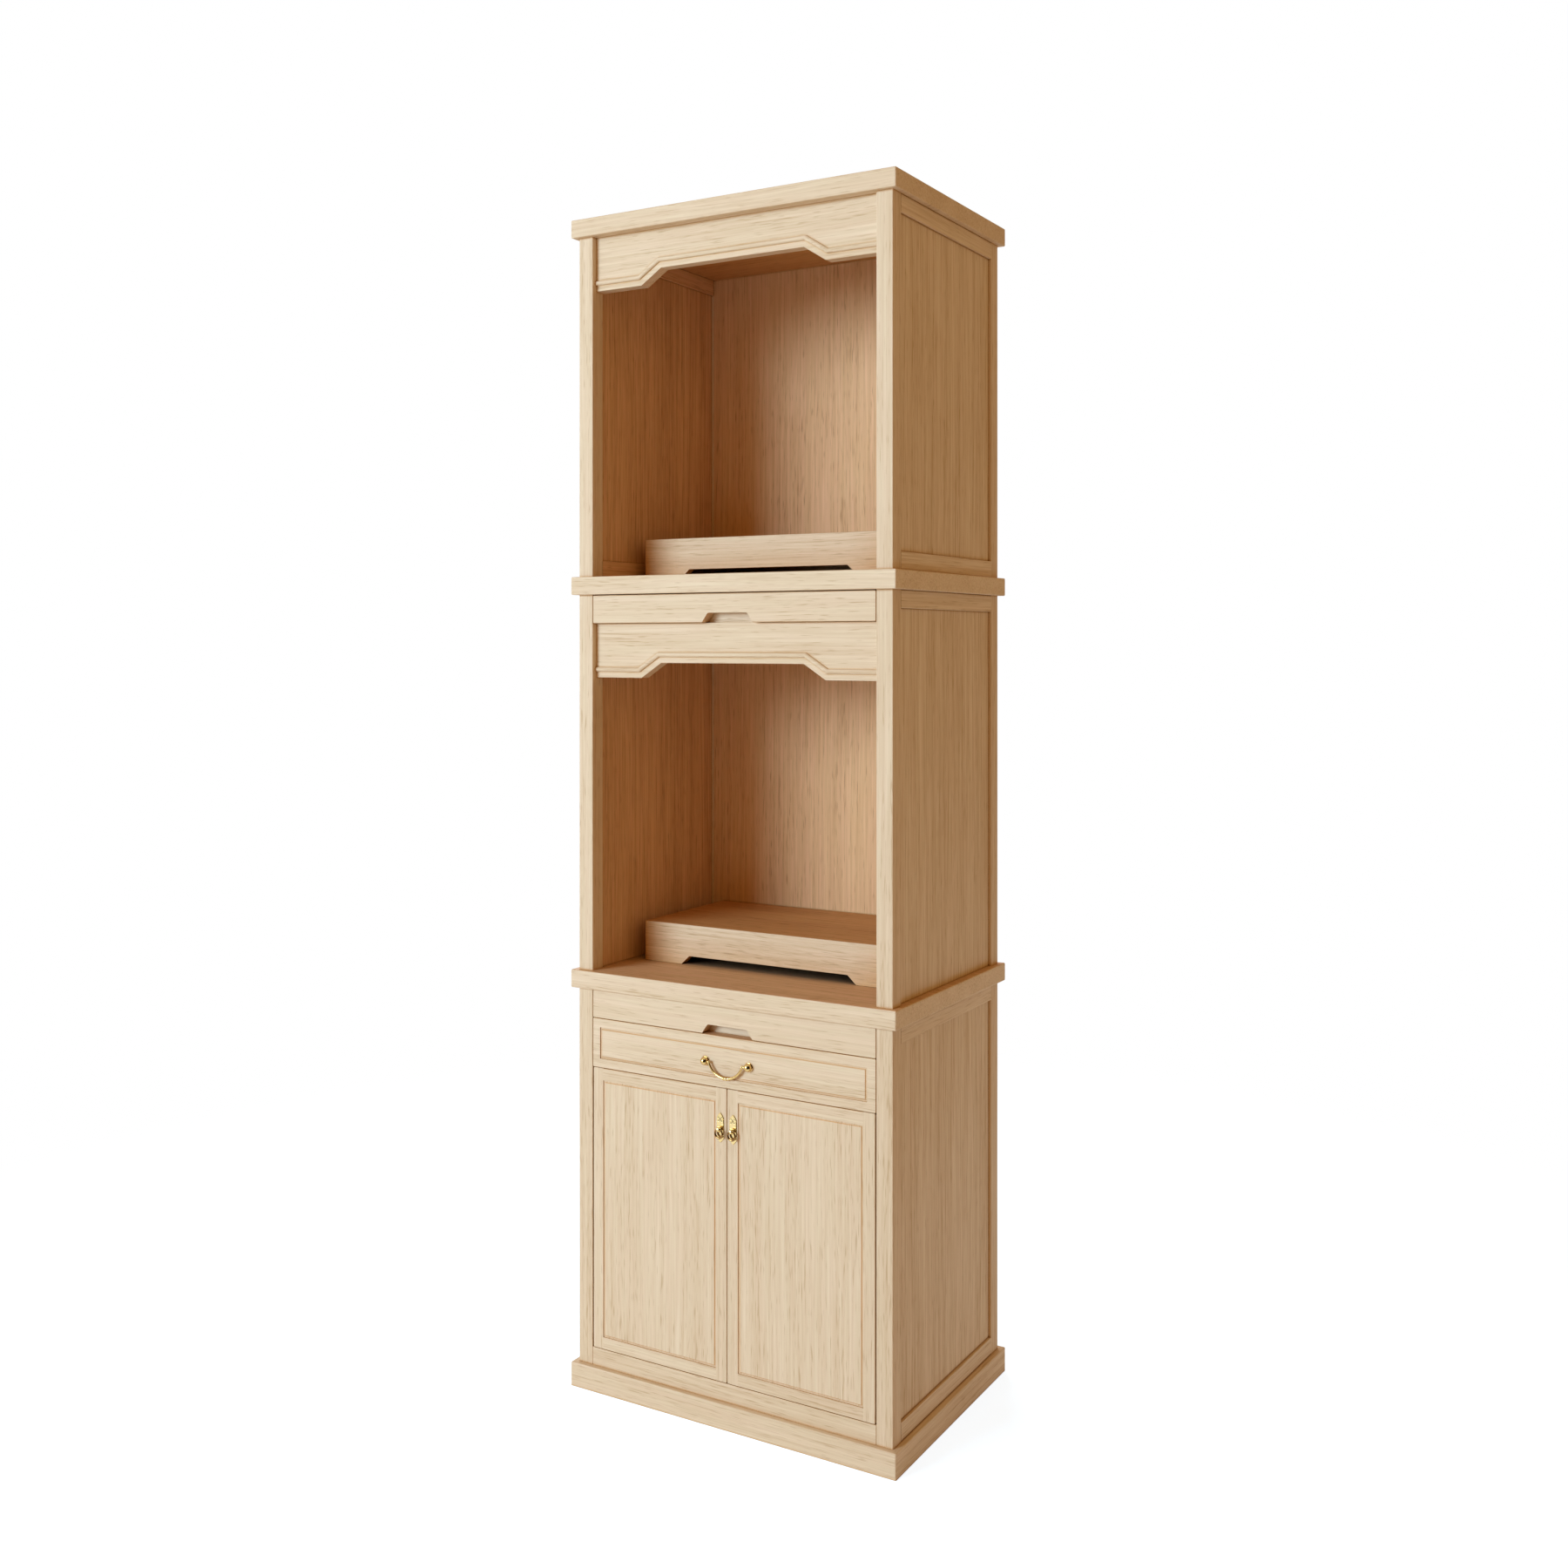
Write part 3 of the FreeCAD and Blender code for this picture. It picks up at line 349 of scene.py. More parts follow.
def wood(name, along, board, figure=1.0, shade_tones=None, where=None, shadow_under_stand=False, seams=0.8, depth=0.34,
         stain_and_shade=1.0, shade_near_walls=False):
    """Open-pored wood, with wide bands and long fibres as noises stretched along the grain, the fibres in
    finer and finer layers. Along is the axis of the grain and board the grid that parts the boards.
    Figure is the contrast and depth the mean darkness. The second tones are painted shade, shown where
    the mask says. Near walls the wood may get amber painted shade, and under a stand a nearly black
    painted shadow. The share of staining and painted shade says how much gathers where surfaces meet,
    and seams how crowded a place is before it is dark."""
    material, tree, shader = new_finish(name)
    coordinates = put(tree, "ShaderNodeTexCoord").outputs
    place = coordinates["Object"]
    parts = put(tree, "ShaderNodeSeparateXYZ", {0: place}).outputs
    grain, chance = cut_boards(tree, place, parts, along, board)
    bands = mottle(tree, grain, BANDS, detail=1.0)
    fibres = mottle(tree, grain, FIBRES, detail=2.6, roughness=0.85)
    pores = open_pores(tree, grain, bands, fibres)
    tone = darkness(tree, bands, fibres, chance, figure, depth)
    pink = spread(tree, mottle(tree, grain, FLUSH, detail=1.0), *HARD)
    filled = calc(tree, "MULTIPLY", pores, PORE_TONE)

    def surface(light, blush, dark, pore):
        body = mixed(tree, tone, mixed(tree, pink, light, blush), dark)
        return mixed(tree, filled, body, pore)

    colour = surface(*PALE)
    # Painted shade: darker, warmer tones where the mask says
    if shade_tones:
        facing = put(tree, "ShaderNodeSeparateXYZ", {0: coordinates["Normal"]}).outputs
        colour = mixed(tree, where(tree, parts, facing), colour, surface(*shade_tones))
    # Painted shade: amber where walls stand round the wood
    if shade_near_walls:
        colour = mixed(tree, nearness(tree, WALL_REACH, *SHELTER_SKY), colour, surface(*AMBER_SHADE))
    # Staining and painted shade where surfaces meet
    colour = stained_and_shaded(tree, colour, seams, stain_and_shade)
    # Painted shadow: nearly black where a stand covers the slab
    if shadow_under_stand:
        colour = mixed(tree, nearness(tree, WALL_REACH, *COVER_SKY), colour, HOLLOW_SHADOW)
    tree.links.new(colour, shader.inputs["Base Color"])
    rough = calc(tree, "ADD", spread(tree, fibres, *PLAIN, *FIBRE_ROUGH),
                 calc(tree, "MULTIPLY", pores, PORE_ROUGH))
    tree.links.new(rough, shader.inputs["Roughness"])
    shader.inputs["Specular IOR Level"].default_value = WOOD_SPECULAR
    height = calc(tree, "SUBTRACT", calc(tree, "MULTIPLY", fibres, FIBRE_RELIEF), pores)
    bumped(tree, shader, height, WOOD_RELIEF)
    return material


# Metal and plastic

WAX = (0.16, 0.09, 0.03, 1.0)

# Cells in a metre of the noises on brass, steel and plastic
BRASS_CLOUDS, BRASS_SCRATCHES = (160.0, 160.0, 160.0), (900.0, 900.0, 4200.0)
STEEL_CLOUDS, STEEL_DRAWN = (90.0, 90.0, 90.0), (1500.0, 40.0, 1500.0)
PLASTIC_GRAIN = (2600.0, 2600.0, 2600.0)

# Peaks of the noise that are scratches, roughness, and relief in metres
SCRATCHED = (0.5, 0.8)
CLOUD_ROUGH, SCRATCH_ROUGH, WAX_ROUGH = 0.06, 0.06, 0.4
STEEL_ROUGH, PLASTIC_ROUGH = (0.25, 0.42), (0.42, 0.55)
BRASS_RELIEF, STEEL_RELIEF, PLASTIC_RELIEF = 0.000006, 0.00001, 0.00002


def brass(name, bright, deep, smooth):
    """Brass in soft clouds of two tones, with faint fine scratches in the gloss and dark wax in the
    grooves. The attribute engraved is one in the grooves, and pieces that have none are bare of wax."""
    material, tree, shader = new_finish(name)
    place = object_place(tree)
    clouds = mottle(tree, place, BRASS_CLOUDS)
    scratches = mottle(tree, place, BRASS_SCRATCHES)
    wax = put(tree, "ShaderNodeAttribute", attribute_name="engraved").outputs["Fac"]
    colour = mixed(tree, wax, mixed(tree, spread(tree, clouds, *PLAIN), bright, deep), WAX)
    tree.links.new(colour, shader.inputs["Base Color"])
    rough = calc(tree, "ADD", spread(tree, clouds, *PLAIN, smooth, smooth + CLOUD_ROUGH),
                 spread(tree, scratches, *SCRATCHED, 0.0, SCRATCH_ROUGH))
    waxed = calc(tree, "ADD", rough, calc(tree, "MULTIPLY", wax, WAX_ROUGH))
    tree.links.new(waxed, shader.inputs["Roughness"])
    shader.inputs["Metallic"].default_value = 1.0
    bumped(tree, shader, scratches, BRASS_RELIEF)
    return material


def zinc_steel():
    """Zinc-plated steel, drawn from front to back."""
    material, tree, shader = new_finish("zinc_steel")
    place = object_place(tree)
    drawn = mottle(tree, place, STEEL_DRAWN)
    clouds = spread(tree, mottle(tree, place, STEEL_CLOUDS, detail=3.0), *PLAIN)
    colour = mixed(tree, clouds, (0.66, 0.67, 0.69, 1.0), (0.52, 0.53, 0.54, 1.0))
    tree.links.new(colour, shader.inputs["Base Color"])
    tree.links.new(spread(tree, drawn, *SOFT, *STEEL_ROUGH), shader.inputs["Roughness"])
    shader.inputs["Metallic"].default_value = 1.0
    bumped(tree, shader, drawn, STEEL_RELIEF)
    return material


def catch_plastic():
    """Brown moulded plastic with a fine spark-eroded grain."""
    material, tree, shader = new_finish("catch_plastic")
    grain = mottle(tree, object_place(tree), PLASTIC_GRAIN, detail=1.0)
    colour = mixed(tree, spread(tree, grain, *PLAIN), (0.36, 0.25, 0.16, 1.0), (0.30, 0.20, 0.13, 1.0))
    tree.links.new(colour, shader.inputs["Base Color"])
    tree.links.new(spread(tree, grain, *PLAIN, *PLASTIC_ROUGH), shader.inputs["Roughness"])
    bumped(tree, shader, grain, PLASTIC_RELIEF)
    return material


# Finishes of the boards and fittings

# Grids that part the boards of a node, in metres
LEFT_RIGHT = (0.5, 0.0, 0.0)
FRONT_BACK = (0.0, 0.3, 0.0)
CORNERS = (0.5, 0.3, 0.0)
TOP_BOTTOM = (0.3, 0.0, 0.3)
STILES = (0.1, 0.0, 0.0)
RAILS = (0.5, 0.0, 0.27)
WHOLE = (0.0, 0.0, 0.0)

# Where the painted shade goes, with planes in metres: inside the middle of the panels, under the crown
# behind its apron and between the posts, and all over
IN_SIDES = near_middle(0, 0.281)
BEFORE_BACK = near_middle(1, 0.178)
NICHE_TOP = all_of(looks(-1), behind(-0.190), near_middle(0, 0.267))
ALL_OVER = near_middle(0, 1.0)

# Figure of the boards with a lively grain
LIVELY = 1.35

POLISHED_BRASS = brass("polished_brass", (0.91, 0.72, 0.36, 1.0), (0.83, 0.61, 0.26, 1.0), smooth=0.14)
WORN_BRASS = brass("worn_brass", (0.76, 0.53, 0.22, 1.0), (0.54, 0.33, 0.11, 1.0), smooth=0.10)
# The rings are aged brass, darkened further as a painted dark reflection
AGED_BRASS_PAINTED_DARK = brass("aged_brass_painted_dark", (0.40, 0.22, 0.08, 1.0), (0.22, 0.11, 0.035, 1.0), smooth=0.10)
STEEL = zinc_steel()
# The second tones of the woods are painted shade, on niche faces, tops, undersides, edges and inside
# boards
FINISHES = {
    wood("post_wood", "z", CORNERS, figure=1.2, depth=0.40): [
        "lower_posts", "middle_posts", "top_posts"],
    wood("side_veneer", "z", LEFT_RIGHT, figure=2.4, shade_tones=HONEY_SHADE, where=IN_SIDES, seams=0.2,
         depth=0.44): [
        "lower_side_panels", "middle_side_panels", "top_side_panels"],
    wood("back_veneer", "z", WHOLE, figure=1.6, shade_tones=HONEY_SHADE, where=BEFORE_BACK, seams=0.45): [
        "lower_back_panel", "middle_back_panel", "top_back_panel"],
    wood("plinth_wood", "x", FRONT_BACK, LIVELY): [
        "plinth_rails", "back_rails"],
    wood("return_wood", "y", RAILS, figure=2.0, shade_tones=HONEY_SHADE, where=IN_SIDES, seams=0.2): [
        "plinth_returns", "side_rails"],
    wood("slab_wood", "x", WHOLE, LIVELY, shade_tones=HONEY_SHADE, where=looks(1), shadow_under_stand=True): [
        "altar_slab", "upper_slab"],
    wood("crown_wood", "x", WHOLE, LIVELY, shade_tones=AMBER_SHADE, where=NICHE_TOP, depth=0.40): [
        "crown_slab"],
    wood("ceiling_wood", "x", WHOLE, shade_tones=AMBER_SHADE, where=ALL_OVER): [
        "niche_ceiling"],
    wood("stand_wood", "x", WHOLE, LIVELY, shade_tones=AMBER_SHADE, where=looks(1), shade_near_walls=True): [
        "middle_stand", "upper_stand"],
    wood("apron_wood", "x", WHOLE, LIVELY): [
        "middle_apron", "top_apron", "lower_front_rail"],
    wood("tray_front_wood", "x", WHOLE, shade_tones=AMBER_SHADE, where=edges(0.6), depth=0.28): [
        "lower_tray_front", "middle_tray_front"],
    wood("tray_board_wood", "x", WHOLE, stain_and_shade=0.4, shade_near_walls=True): [
        "lower_tray_board", "middle_tray_board"],
    wood("drawer_wood", "x", WHOLE, LIVELY, shade_tones=AMBER_SHADE, where=edges(0.7)): [
        "drawer_front"],
    wood("stile_wood", "z", STILES, stain_and_shade=0.1): [
        "left_door_stiles", "right_door_stiles"],
    wood("door_rail_wood", "x", TOP_BOTTOM, LIVELY, shade_tones=AMBER_SHADE, where=edges(0.7)): [
        "left_door_rails", "right_door_rails"],
    wood("door_veneer", "z", LEFT_RIGHT, figure=1.25, shade_tones=HONEY_SHADE, where=edges(1.0), stain_and_shade=0.6): [
        "left_door_panel", "right_door_panel"],
    wood("stretcher_wood", "x", WHOLE, depth=0.2, stain_and_shade=0.5): [
        "tray_stretcher", "drawer_stretcher", "apron_stretcher"],
    wood("inner_wood_across", "x", WHOLE, shade_tones=HONEY_SHADE, where=ALL_OVER): [
        "cupboard_floor", "drawer_back", "drawer_bottom"],
    wood("inner_wood_front_to_back", "y", LEFT_RIGHT, shade_tones=HONEY_SHADE, where=ALL_OVER): [
        "tray_runners", "packing_strips", "drawer_sides"],
    wood("dowel_wood", "z", CORNERS): [
        "post_dowels"],
    WORN_BRASS: [
        "bail_nuts"],
    STEEL: [
        "slide_channels", "slide_bars", "pivot_brackets", "pivot_pins", "fixing_screws",
        "left_door_strike", "right_door_strike"],
    catch_plastic(): [
        "door_catch"],
}


def dress():
    """Gives every kept board and fitting its finish."""
    for material, names in FINISHES.items():
        for name in names:
            for holder in frame["nodes"][name].material_slots:
                holder.material = material


# Brass pieces

def full_turn(points):
    """Angles of points evenly round a circle."""
    return np.linspace(0, 2 * math.pi, points, endpoint=False)


def tube(rings, closed=False):
    """Faces of a surface made of rings of points, an array (rings, points, 3). The points of a ring go
    round. Closed joins the last ring to the first, and otherwise each end is shut by a fan to its
    middle."""
    count, around = rings.shape[:2]
    index = np.arange(count * around).reshape(count, around)
    beside = np.roll(index, -1, axis=1)
    after = np.roll(index, -1, axis=0)
    corner = np.roll(beside, -1, axis=0)
    quads = np.stack([index, beside, corner, after], axis=-1)
    quads = quads if closed else quads[:-1]
    points = rings.reshape(-1, 3)
    faces = quads.reshape(-1, 4).tolist()
    if not closed:
        middles = rings[[0, -1]].mean(axis=1)
        points = np.vstack([points, middles])
        low, high = count * around, count * around + 1
        start = np.stack([np.full(around, low), beside[0], index[0]], axis=-1)
        end = np.stack([np.full(around, high), index[-1], beside[-1]], axis=-1)
        faces += start.tolist() + end.tolist()
    return points, faces


def join(shells):
    """Several shells as one list of points and faces."""
    points, faces, first = [], [], 0
    for shell_points, shell_faces in shells:
        points.append(shell_points)
        faces += [[corner + first for corner in face] for face in shell_faces]
        first += len(shell_points)
    return np.vstack(points), faces


def piece(name, shells, finish, body, *stands_for):
    """A smooth brass piece from shells in millimetres, which rides on a body and stands for CAD nodes."""
    points, faces = join(shells)
    mesh = bpy.data.meshes.new(name)
    mesh.from_pydata((points * MM).tolist(), [], faces)
    mesh.update()
    mesh.materials.append(finish)
    mesh.polygons.foreach_set("use_smooth", np.ones(len(mesh.polygons), bool))
    made = add(name, mesh)
    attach(made, body)
    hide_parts(*stands_for)
    return made


def turn(profile, middle, axis, points):
    """A turned piece. Profile rows are radius and distance along the axis, a unit vector from middle."""
    radius, reach = np.asarray(profile, float).T
    axis = np.asarray(axis, float)
    first = np.array([axis[1], axis[2], axis[0]])
    second = np.cross(axis, first)
    angle = full_turn(points)
    spokes = np.cos(angle)[:, None] * first + np.sin(angle)[:, None] * second
    rings = np.asarray(middle, float) + reach[:, None, None] * axis + radius[:, None, None] * spokes
    return tube(rings)


def knob_profile():
    """Radius and reach of a bail post: a straight shank, a thin rose with a quarter-round edge, a fine
    groove and a knob that is most of a ball."""
    quarter = np.linspace(0, math.pi / 2, 12)
    inside = DRAWER_BACK + THREAD_REACH - DRAWER_FIELD
    shank = [(POLE, -inside), (SHANK_RADIUS, -inside), (SHANK_RADIUS, 0.0), (ROSE_RADIUS, 0.0)]
    rose = np.stack([ROSE_RADIUS - ROSE_ROUND + ROSE_ROUND * np.cos(quarter),
                     ROSE_RIM + ROSE_ROUND * np.sin(quarter)], axis=1)
    start = math.asin((KNOB_FROM - KNOB_CENTRE) / KNOB_RADIUS)
    around = np.linspace(start, math.pi / 2, 30)[:-1]
    ball = np.stack([KNOB_RADIUS * np.cos(around), KNOB_CENTRE + KNOB_RADIUS * np.sin(around)], axis=1)
    return np.vstack([shank, rose, GROOVE, ball, [(POLE, KNOB_CENTRE + KNOB_RADIUS)]])


def bail_posts():
    """The two domed posts that hold the bail."""
    profile = knob_profile()
    places = [(BAIL_X + side * POST_OFFSET, DRAWER_FIELD, BAIL_Z) for side in (-1, 1)]
    return [turn(profile, place, TO_FRONT, points=48) for place in places]


def bail_wire():
    """The bail: a round section carried along an arc of a circle through both ends and the lowest point.
    Its radius swells towards the middle, where two rounded collars sit, each a bump of a narrow bell
    curve. The sections stand closer together there."""
    arc = (BAIL_HALF_WIDTH ** 2 + BAIL_SAG ** 2) / (2 * BAIL_SAG)
    reach = math.asin(BAIL_HALF_WIDTH / arc)
    share = np.sort(np.concatenate([np.linspace(-1, 1, 121),
                                    np.linspace(-COLLAR_STRETCH, COLLAR_STRETCH, 110)]))
    angle = reach * share
    wire = WIRE_RADIUS + WIRE_SWELL * np.cos(angle / reach * math.pi / 2) ** SWELL_POWER
    from_collar = np.abs(np.abs(angle * arc) - COLLAR_OFFSET)
    radius = wire + COLLAR_RISE * np.exp(-(from_collar / COLLAR_HALF_WIDTH) ** 4)
    around = full_turn(28)
    outward = np.stack([np.sin(angle), np.zeros_like(angle), -np.cos(angle)], axis=1)
    centre = np.array([BAIL_X, BAIL_Y, BAIL_Z - BAIL_SAG + arc]) + arc * outward
    spoke = (np.cos(around)[None, :, None] * outward[:, None, :]
             + np.sin(around)[None, :, None] * np.array([0.0, 1.0, 0.0]))
    return tube(centre[:, None, :] + radius[:, None, None] * spoke)


def bail_end(side):
    """One end of the bail: a ball where the wire stops, and a pin from it into the post."""
    half = np.linspace(POLE_ANGLE, END_BALL_TO, 20)
    ball = np.stack([END_BALL_RADIUS * np.sin(half), -END_BALL_RADIUS * np.cos(half)], axis=1)
    pin = [(PIN_RADIUS, PIN_FROM), (PIN_RADIUS, PIN_TO), (POLE, PIN_TO)]
    middle = (BAIL_X + side * BAIL_HALF_WIDTH, BAIL_Y, BAIL_Z)
    return turn(np.vstack([ball, pin]), middle, (side, 0, 0), points=28)


def scroll_strokes():
    """The engraved ornament, as points across and up from the plate's lower tip: two arcs of a circle
    back to back, each ending in two small hooks, which are half circles that curl outwards."""
    lean = np.linspace(-1, 1, 40) * SCROLL_LEAN
    arc = np.stack([SCROLL_GAP + SCROLL_RADIUS * (1 - np.cos(lean)),
                    SCROLL_RADIUS * np.sin(lean)], axis=1)
    bend = np.linspace(0, math.pi, 24)
    hook = np.stack([HOOK_RADIUS * np.sin(bend), -HOOK_RADIUS + HOOK_RADIUS * np.cos(bend)], axis=1)
    upper = arc[-1] + hook
    lower = arc[0] + hook * (1, -1)
    right = np.vstack([arc, upper, lower]) + (0.0, SCROLL_UP)
    return np.vstack([right, right * (-1, 1)])


def ring_plate(x):
    """A plate with cusped, pointed ends. Its half width grows with the height over the tip as a power
    curve and has a small notch at each shoulder, a bell curve. Sections across it are loops, front and
    back, with a bevelled edge, and the front is sunk by a bell curve of the distance to the engraved
    strokes. Also gives how much each point is engraved."""
    length = PLATE_HIGH - PLATE_LOW
    up = length * (0.5 - 0.5 * np.cos(np.linspace(POLE_ANGLE, math.pi - POLE_ANGLE, 210)))
    tip = np.minimum(up, length - up)
    half = PLATE_HALF_WIDTH * (1 - np.clip(1 - tip / TIP_LENGTH, 0, 1) ** TIP_POWER)
    half -= NOTCH_DEPTH * np.exp(-((tip - NOTCH_UP) / NOTCH_WIDTH) ** 2)
    front = np.sin(np.linspace(-math.pi / 2, math.pi / 2, 71))
    across = half[:, None] * front
    height = np.broadcast_to(up[:, None], across.shape)
    bevel = np.clip(half[:, None] * (1 - np.abs(front)) / BEVEL, 0, 1)
    apart = np.stack([across, height], axis=-1)[:, :, None, :] - scroll_strokes()
    stroke = np.sqrt((apart ** 2).sum(axis=-1)).min(axis=2)
    engraved = np.exp(-(stroke / STROKE_WIDTH) ** 4) * bevel
    rise = PLATE_RIM + (PLATE_THICK - PLATE_RIM) * bevel ** BEVEL_POWER - STROKE_DEPTH * engraved
    face = np.stack([x + across, DOOR_FACE - rise, PLATE_LOW + height], axis=-1)
    back = face[:, ::-1].copy()
    back[:, :, 1] = DOOR_FACE
    plate = tube(np.concatenate([face, back], axis=1))
    return plate, np.hstack([engraved, np.zeros_like(engraved)]).ravel()


def rounded(wave, power):
    """A sine or cosine made squarer by a power below one, with its sign kept."""
    return np.sign(wave) * np.abs(wave) ** power


def eye(x, y, z):
    """The loop on the plate: a rounded oblong section carried round the ring's axis, which stays clear of
    the ring inside and swells outwards to a dome at the top and front."""
    around = full_turn(56)
    section = full_turn(28)
    swell = np.clip(np.cos(around - EYE_DOME), 0, 1) ** EYE_DOME_POWER
    thick = (EYE_HALF_THICK + EYE_HALF_THICK * swell)[:, None]
    wide = (EYE_HALF_WIDTH + EYE_SPREAD * swell)[:, None] * rounded(np.cos(section), EYE_WIDE_POWER)
    deep = EYE_HOLE + thick * (1 + rounded(np.sin(section), EYE_DEEP_POWER))
    back = y + np.cos(around)[:, None] * deep
    up = z + np.sin(around)[:, None] * deep
    return tube(np.stack([x + wide, back, up], axis=-1), closed=True)


def plate_boss(x, z):
    """The low boss that the loop grows out of, with the shank behind it that goes through the stile."""
    inside = DOOR_BACK - DOOR_FACE
    shank = [(POLE, -inside), (SHANK_RADIUS, -inside), (SHANK_RADIUS, BOSS[0][1])]
    return turn([*shank, *BOSS, (POLE, BOSS_TOP)], (x, DOOR_FACE, z), TO_FRONT, points=32)


def pull_ring(x, y, z):
    """A ring: a round section, a little thicker at the bottom, carried round a circle that hangs from its
    axis."""
    around = full_turn(72)
    section = full_turn(24)
    wire = (RING_WIRE - RING_SWELL * np.sin(around))[:, None]
    out = RING_RADIUS + wire * np.cos(section)
    back = y + wire * np.sin(section)
    up = z - RING_RADIUS + np.sin(around)[:, None] * out
    return tube(np.stack([x + np.cos(around)[:, None] * out, back, up], axis=-1), closed=True)


def hang_brass():
    """All brass pieces, on the drawer and on both doors."""
    piece("turned_bail_posts", bail_posts(), WORN_BRASS, "drawer", "bail_posts")
    piece("bent_bail", [bail_wire(), bail_end(-1), bail_end(1)], WORN_BRASS, "bail", "drawer_bail")
    for side in ("left", "right"):
        x, y, z = PIVOTS[f"{side}_ring_swing"]
        plate, engraved = ring_plate(x)
        made = piece(f"{side}_engraved_plate", [plate, eye(x, y, z), plate_boss(x, z)], POLISHED_BRASS,
                     f"{side}_door", f"{side}_ring_plate")
        depth = np.zeros(len(made.data.vertices), np.float32)
        depth[:len(engraved)] = engraved
        made.data.attributes.new("engraved", "FLOAT", "POINT").data.foreach_set("value", depth)
        piece(f"{side}_pull_ring", [pull_ring(x, y, z)], AGED_BRASS_PAINTED_DARK, f"{side}_ring", f"{side}_ring")


# Studio, in metres and degrees, with sensor and lens in millimetres

FILL = (0.420, 0.237, 0.067, 1.0)
WHITE = (1.0, 1.0, 1.0, 1.0)
FLOOR_HALF_SIZE = 30
FLOOR_FADE = {"From Min": 0.5, "From Max": 2.2}
FLAG_AWAY = np.array([1.2, 4.2, 5.0, 5.4, 5.5])
FLAG_HEIGHT = np.array([0.01, 0.01, 0.4, 1.2, 8.0])
FLAG_FROM, FLAG_TO = -8, 125
CAMERA_PLACE = (1.3652, -2.3332, 1.2471)
CAMERA_TURN = 30.31
SENSOR_WIDTH = 36.0
LENS = 36.495

# Side of the photograph, and how far the lens is shifted, in its pixels
PHOTO_SIDE = 1800
SHIFT_RIGHT, SHIFT_UP = -8.0, -160.5


def seen_directly(tree):
    """One for rays from the camera and for mirrored or refracted ones, zero for the light on things."""
    path = put(tree, "ShaderNodeLightPath").outputs
    seen = calc(tree, "MAXIMUM", path["Is Camera Ray"], path["Is Glossy Ray"])
    return calc(tree, "MAXIMUM", seen, path["Is Transmission Ray"])


def surroundings():
    """A white room to look at, which lights the cabinet with a low warm fill."""
    world = bpy.data.worlds.new("studio")
    bpy.context.scene.world = world
    world.use_nodes = True
    tree = world.node_tree
    back = tree.nodes["Background"]
    tree.links.new(mixed(tree, seen_directly(tree), FILL, WHITE), back.inputs["Color"])


def pale_floor():
    """A floor that lights the cabinet as pale ground does. Looked at, it glows so that it is white where
    it is lit, keeps the cabinet's soft shadow, and fades to plain white with the distance."""
    material, tree, shader = new_finish("pale_floor")
    tree.nodes.remove(shader)
    matt = put(tree, "ShaderNodeBsdfDiffuse", {"Color": (0.86, 0.84, 0.81, 1.0)})
    shade = put(tree, "ShaderNodeBsdfDiffuse", {"Color": (0.55, 0.75, 0.95, 1.0)})
    glow = put(tree, "ShaderNodeEmission", {"Color": (0.86, 0.91, 1.0, 1.0), "Strength": 0.86})
    near = put(tree, "ShaderNodeAddShader", {0: shade.outputs[0], 1: glow.outputs[0]})
    far = put(tree, "ShaderNodeEmission", {"Color": WHITE, "Strength": 1.0})
    length = put(tree, "ShaderNodeVectorMath", {0: object_place(tree)}, operation="LENGTH")
    fade = put(tree, "ShaderNodeMapRange", {"Value": length.outputs["Value"], **FLOOR_FADE},
               interpolation_type="SMOOTHSTEP").outputs[0]
    bright = put(tree, "ShaderNodeMixShader", {0: fade, 1: near.outputs[0], 2: far.outputs[0]})
    views = {0: seen_directly(tree), 1: matt.outputs[0], 2: bright.outputs[0]}
    shown = put(tree, "ShaderNodeMixShader", views)
    tree.links.new(shown.outputs[0], tree.nodes["Material Output"].inputs["Surface"])
    return material


def floor():
    """A wide square of pale floor."""
    half = FLOOR_HALF_SIZE
    mesh = bpy.data.meshes.new("floor")
    mesh.from_pydata([(-half, -half, 0), (half, -half, 0), (half, half, 0), (-half, half, 0)], [],
                     [(0, 1, 2, 3)])
    mesh.materials.append(pale_floor())
    made = add("floor", mesh)


def lamp(name, place, target, size, power, colour):
    """A round soft lamp at place that faces target."""
    data = bpy.data.lights.new(name, "AREA")
    data.shape = "DISK"
    data.size = size
    data.energy = power
    data.color = colour
    made = add(name, data)
    made.location = place
    away = np.asarray(place, float) - np.asarray(target, float)
    flat = math.hypot(away[0], away[1])
    made.rotation_euler = (math.atan2(flat, away[2]), 0.0, math.atan2(away[0], -away[1]))
    made.visible_camera = False


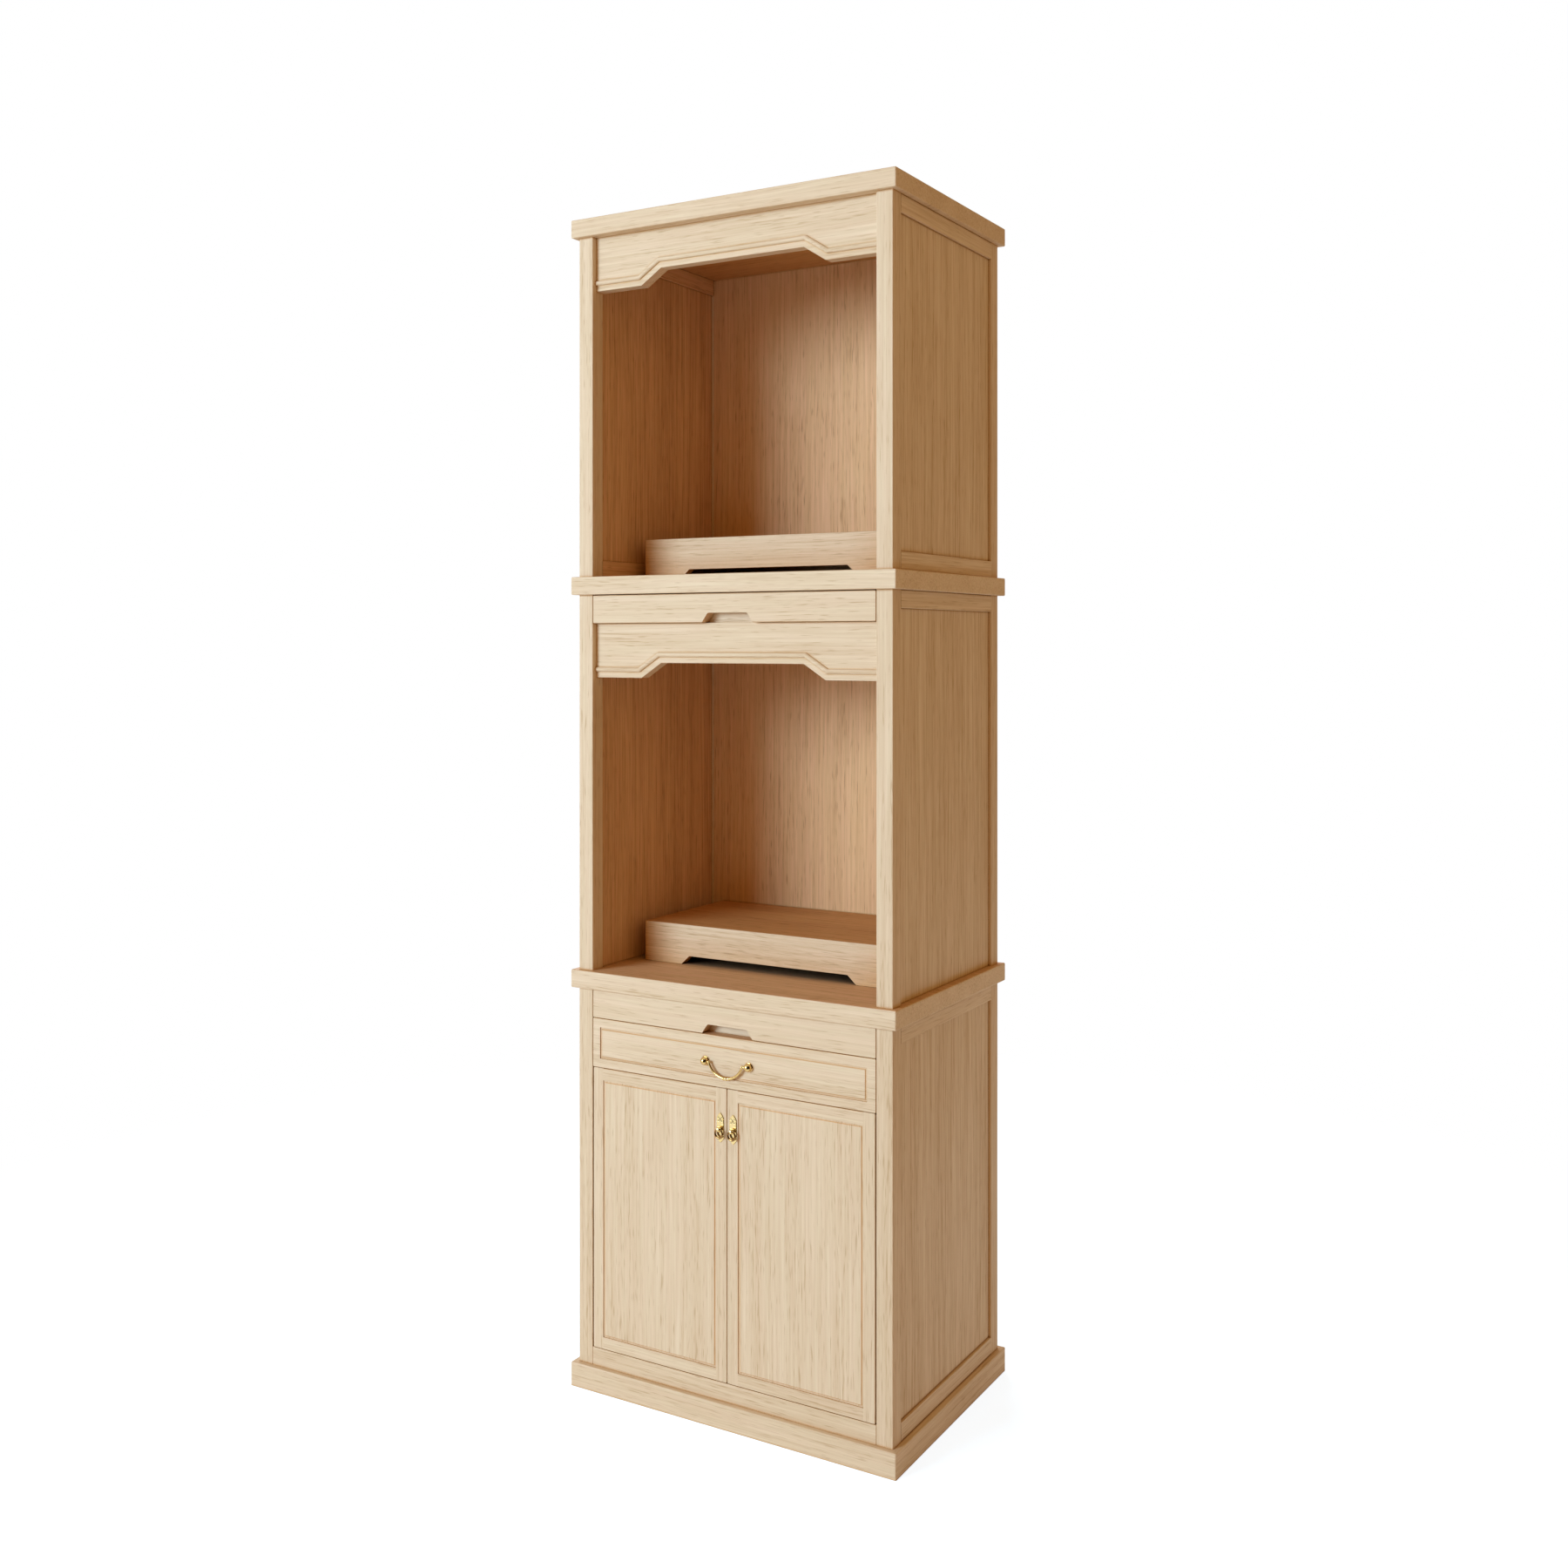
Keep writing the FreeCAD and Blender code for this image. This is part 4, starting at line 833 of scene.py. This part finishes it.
def dark_cloth():
    """A nearly black weave."""
    material, tree, shader = new_finish("dark_cloth")
    weave = mottle(tree, object_place(tree), (900.0, 900.0, 900.0), detail=1.0)
    dark = mixed(tree, weave, (0.020, 0.012, 0.007, 1.0), (0.035, 0.020, 0.011, 1.0))
    tree.links.new(dark, shader.inputs["Base Color"])
    shader.inputs["Roughness"].default_value = 0.9
    return material


def dark_flag():
    """A dark cloth for the brass to mirror, which the camera doesn't see: a profile that runs along the
    floor and then up, carried round the cabinet's front right."""
    angle = np.radians(np.linspace(FLAG_FROM, FLAG_TO, 40))
    flat = FLAG_AWAY[:, None] * np.sin(angle), -FLAG_AWAY[:, None] * np.cos(angle)
    points = np.stack([*flat, np.broadcast_to(FLAG_HEIGHT[:, None], flat[0].shape)], axis=-1)
    index = np.arange(points.shape[0] * points.shape[1]).reshape(points.shape[:2])
    quads = np.stack([index[:-1, :-1], index[:-1, 1:], index[1:, 1:], index[1:, :-1]], axis=-1)
    mesh = bpy.data.meshes.new("dark_flag")
    mesh.from_pydata(points.reshape(-1, 3).tolist(), [], quads.reshape(-1, 4).tolist())
    mesh.materials.append(dark_cloth())
    made = add("dark_flag", mesh)
    made.visible_camera = False
    made.visible_diffuse = False
    made.visible_shadow = False


def camera():
    """The photograph's view: level, from the right of the front."""
    data = bpy.data.cameras.new("camera")
    data.sensor_width = SENSOR_WIDTH
    data.lens = LENS
    data.shift_x = SHIFT_RIGHT / PHOTO_SIDE
    data.shift_y = SHIFT_UP / PHOTO_SIDE
    made = add("camera", data)
    made.location = CAMERA_PLACE
    made.rotation_euler = (math.radians(90), 0.0, math.radians(CAMERA_TURN))
    bpy.context.scene.camera = made


dress()
hang_brass()
surroundings()
floor()
dark_flag()
lamp("key", place=(-3.63, -7.13, 2.65), target=(0, 0, 1.1), size=4.0, power=657.0,
     colour=(0.59, 0.81, 1.0))
lamp("low_right", place=(1.15, 0.25, 0.12), target=(0.3, 0, 0.2), size=0.5, power=1.25,
     colour=(0.36, 0.68, 1.0))
lamp("behind", place=(-3.0, 4.0, 2.6), target=(0, 0, 1.0), size=2.5, power=110.0,
     colour=(0.86, 0.95, 1.0))
camera()
bpy.context.scene.view_settings.view_transform = "Standard"
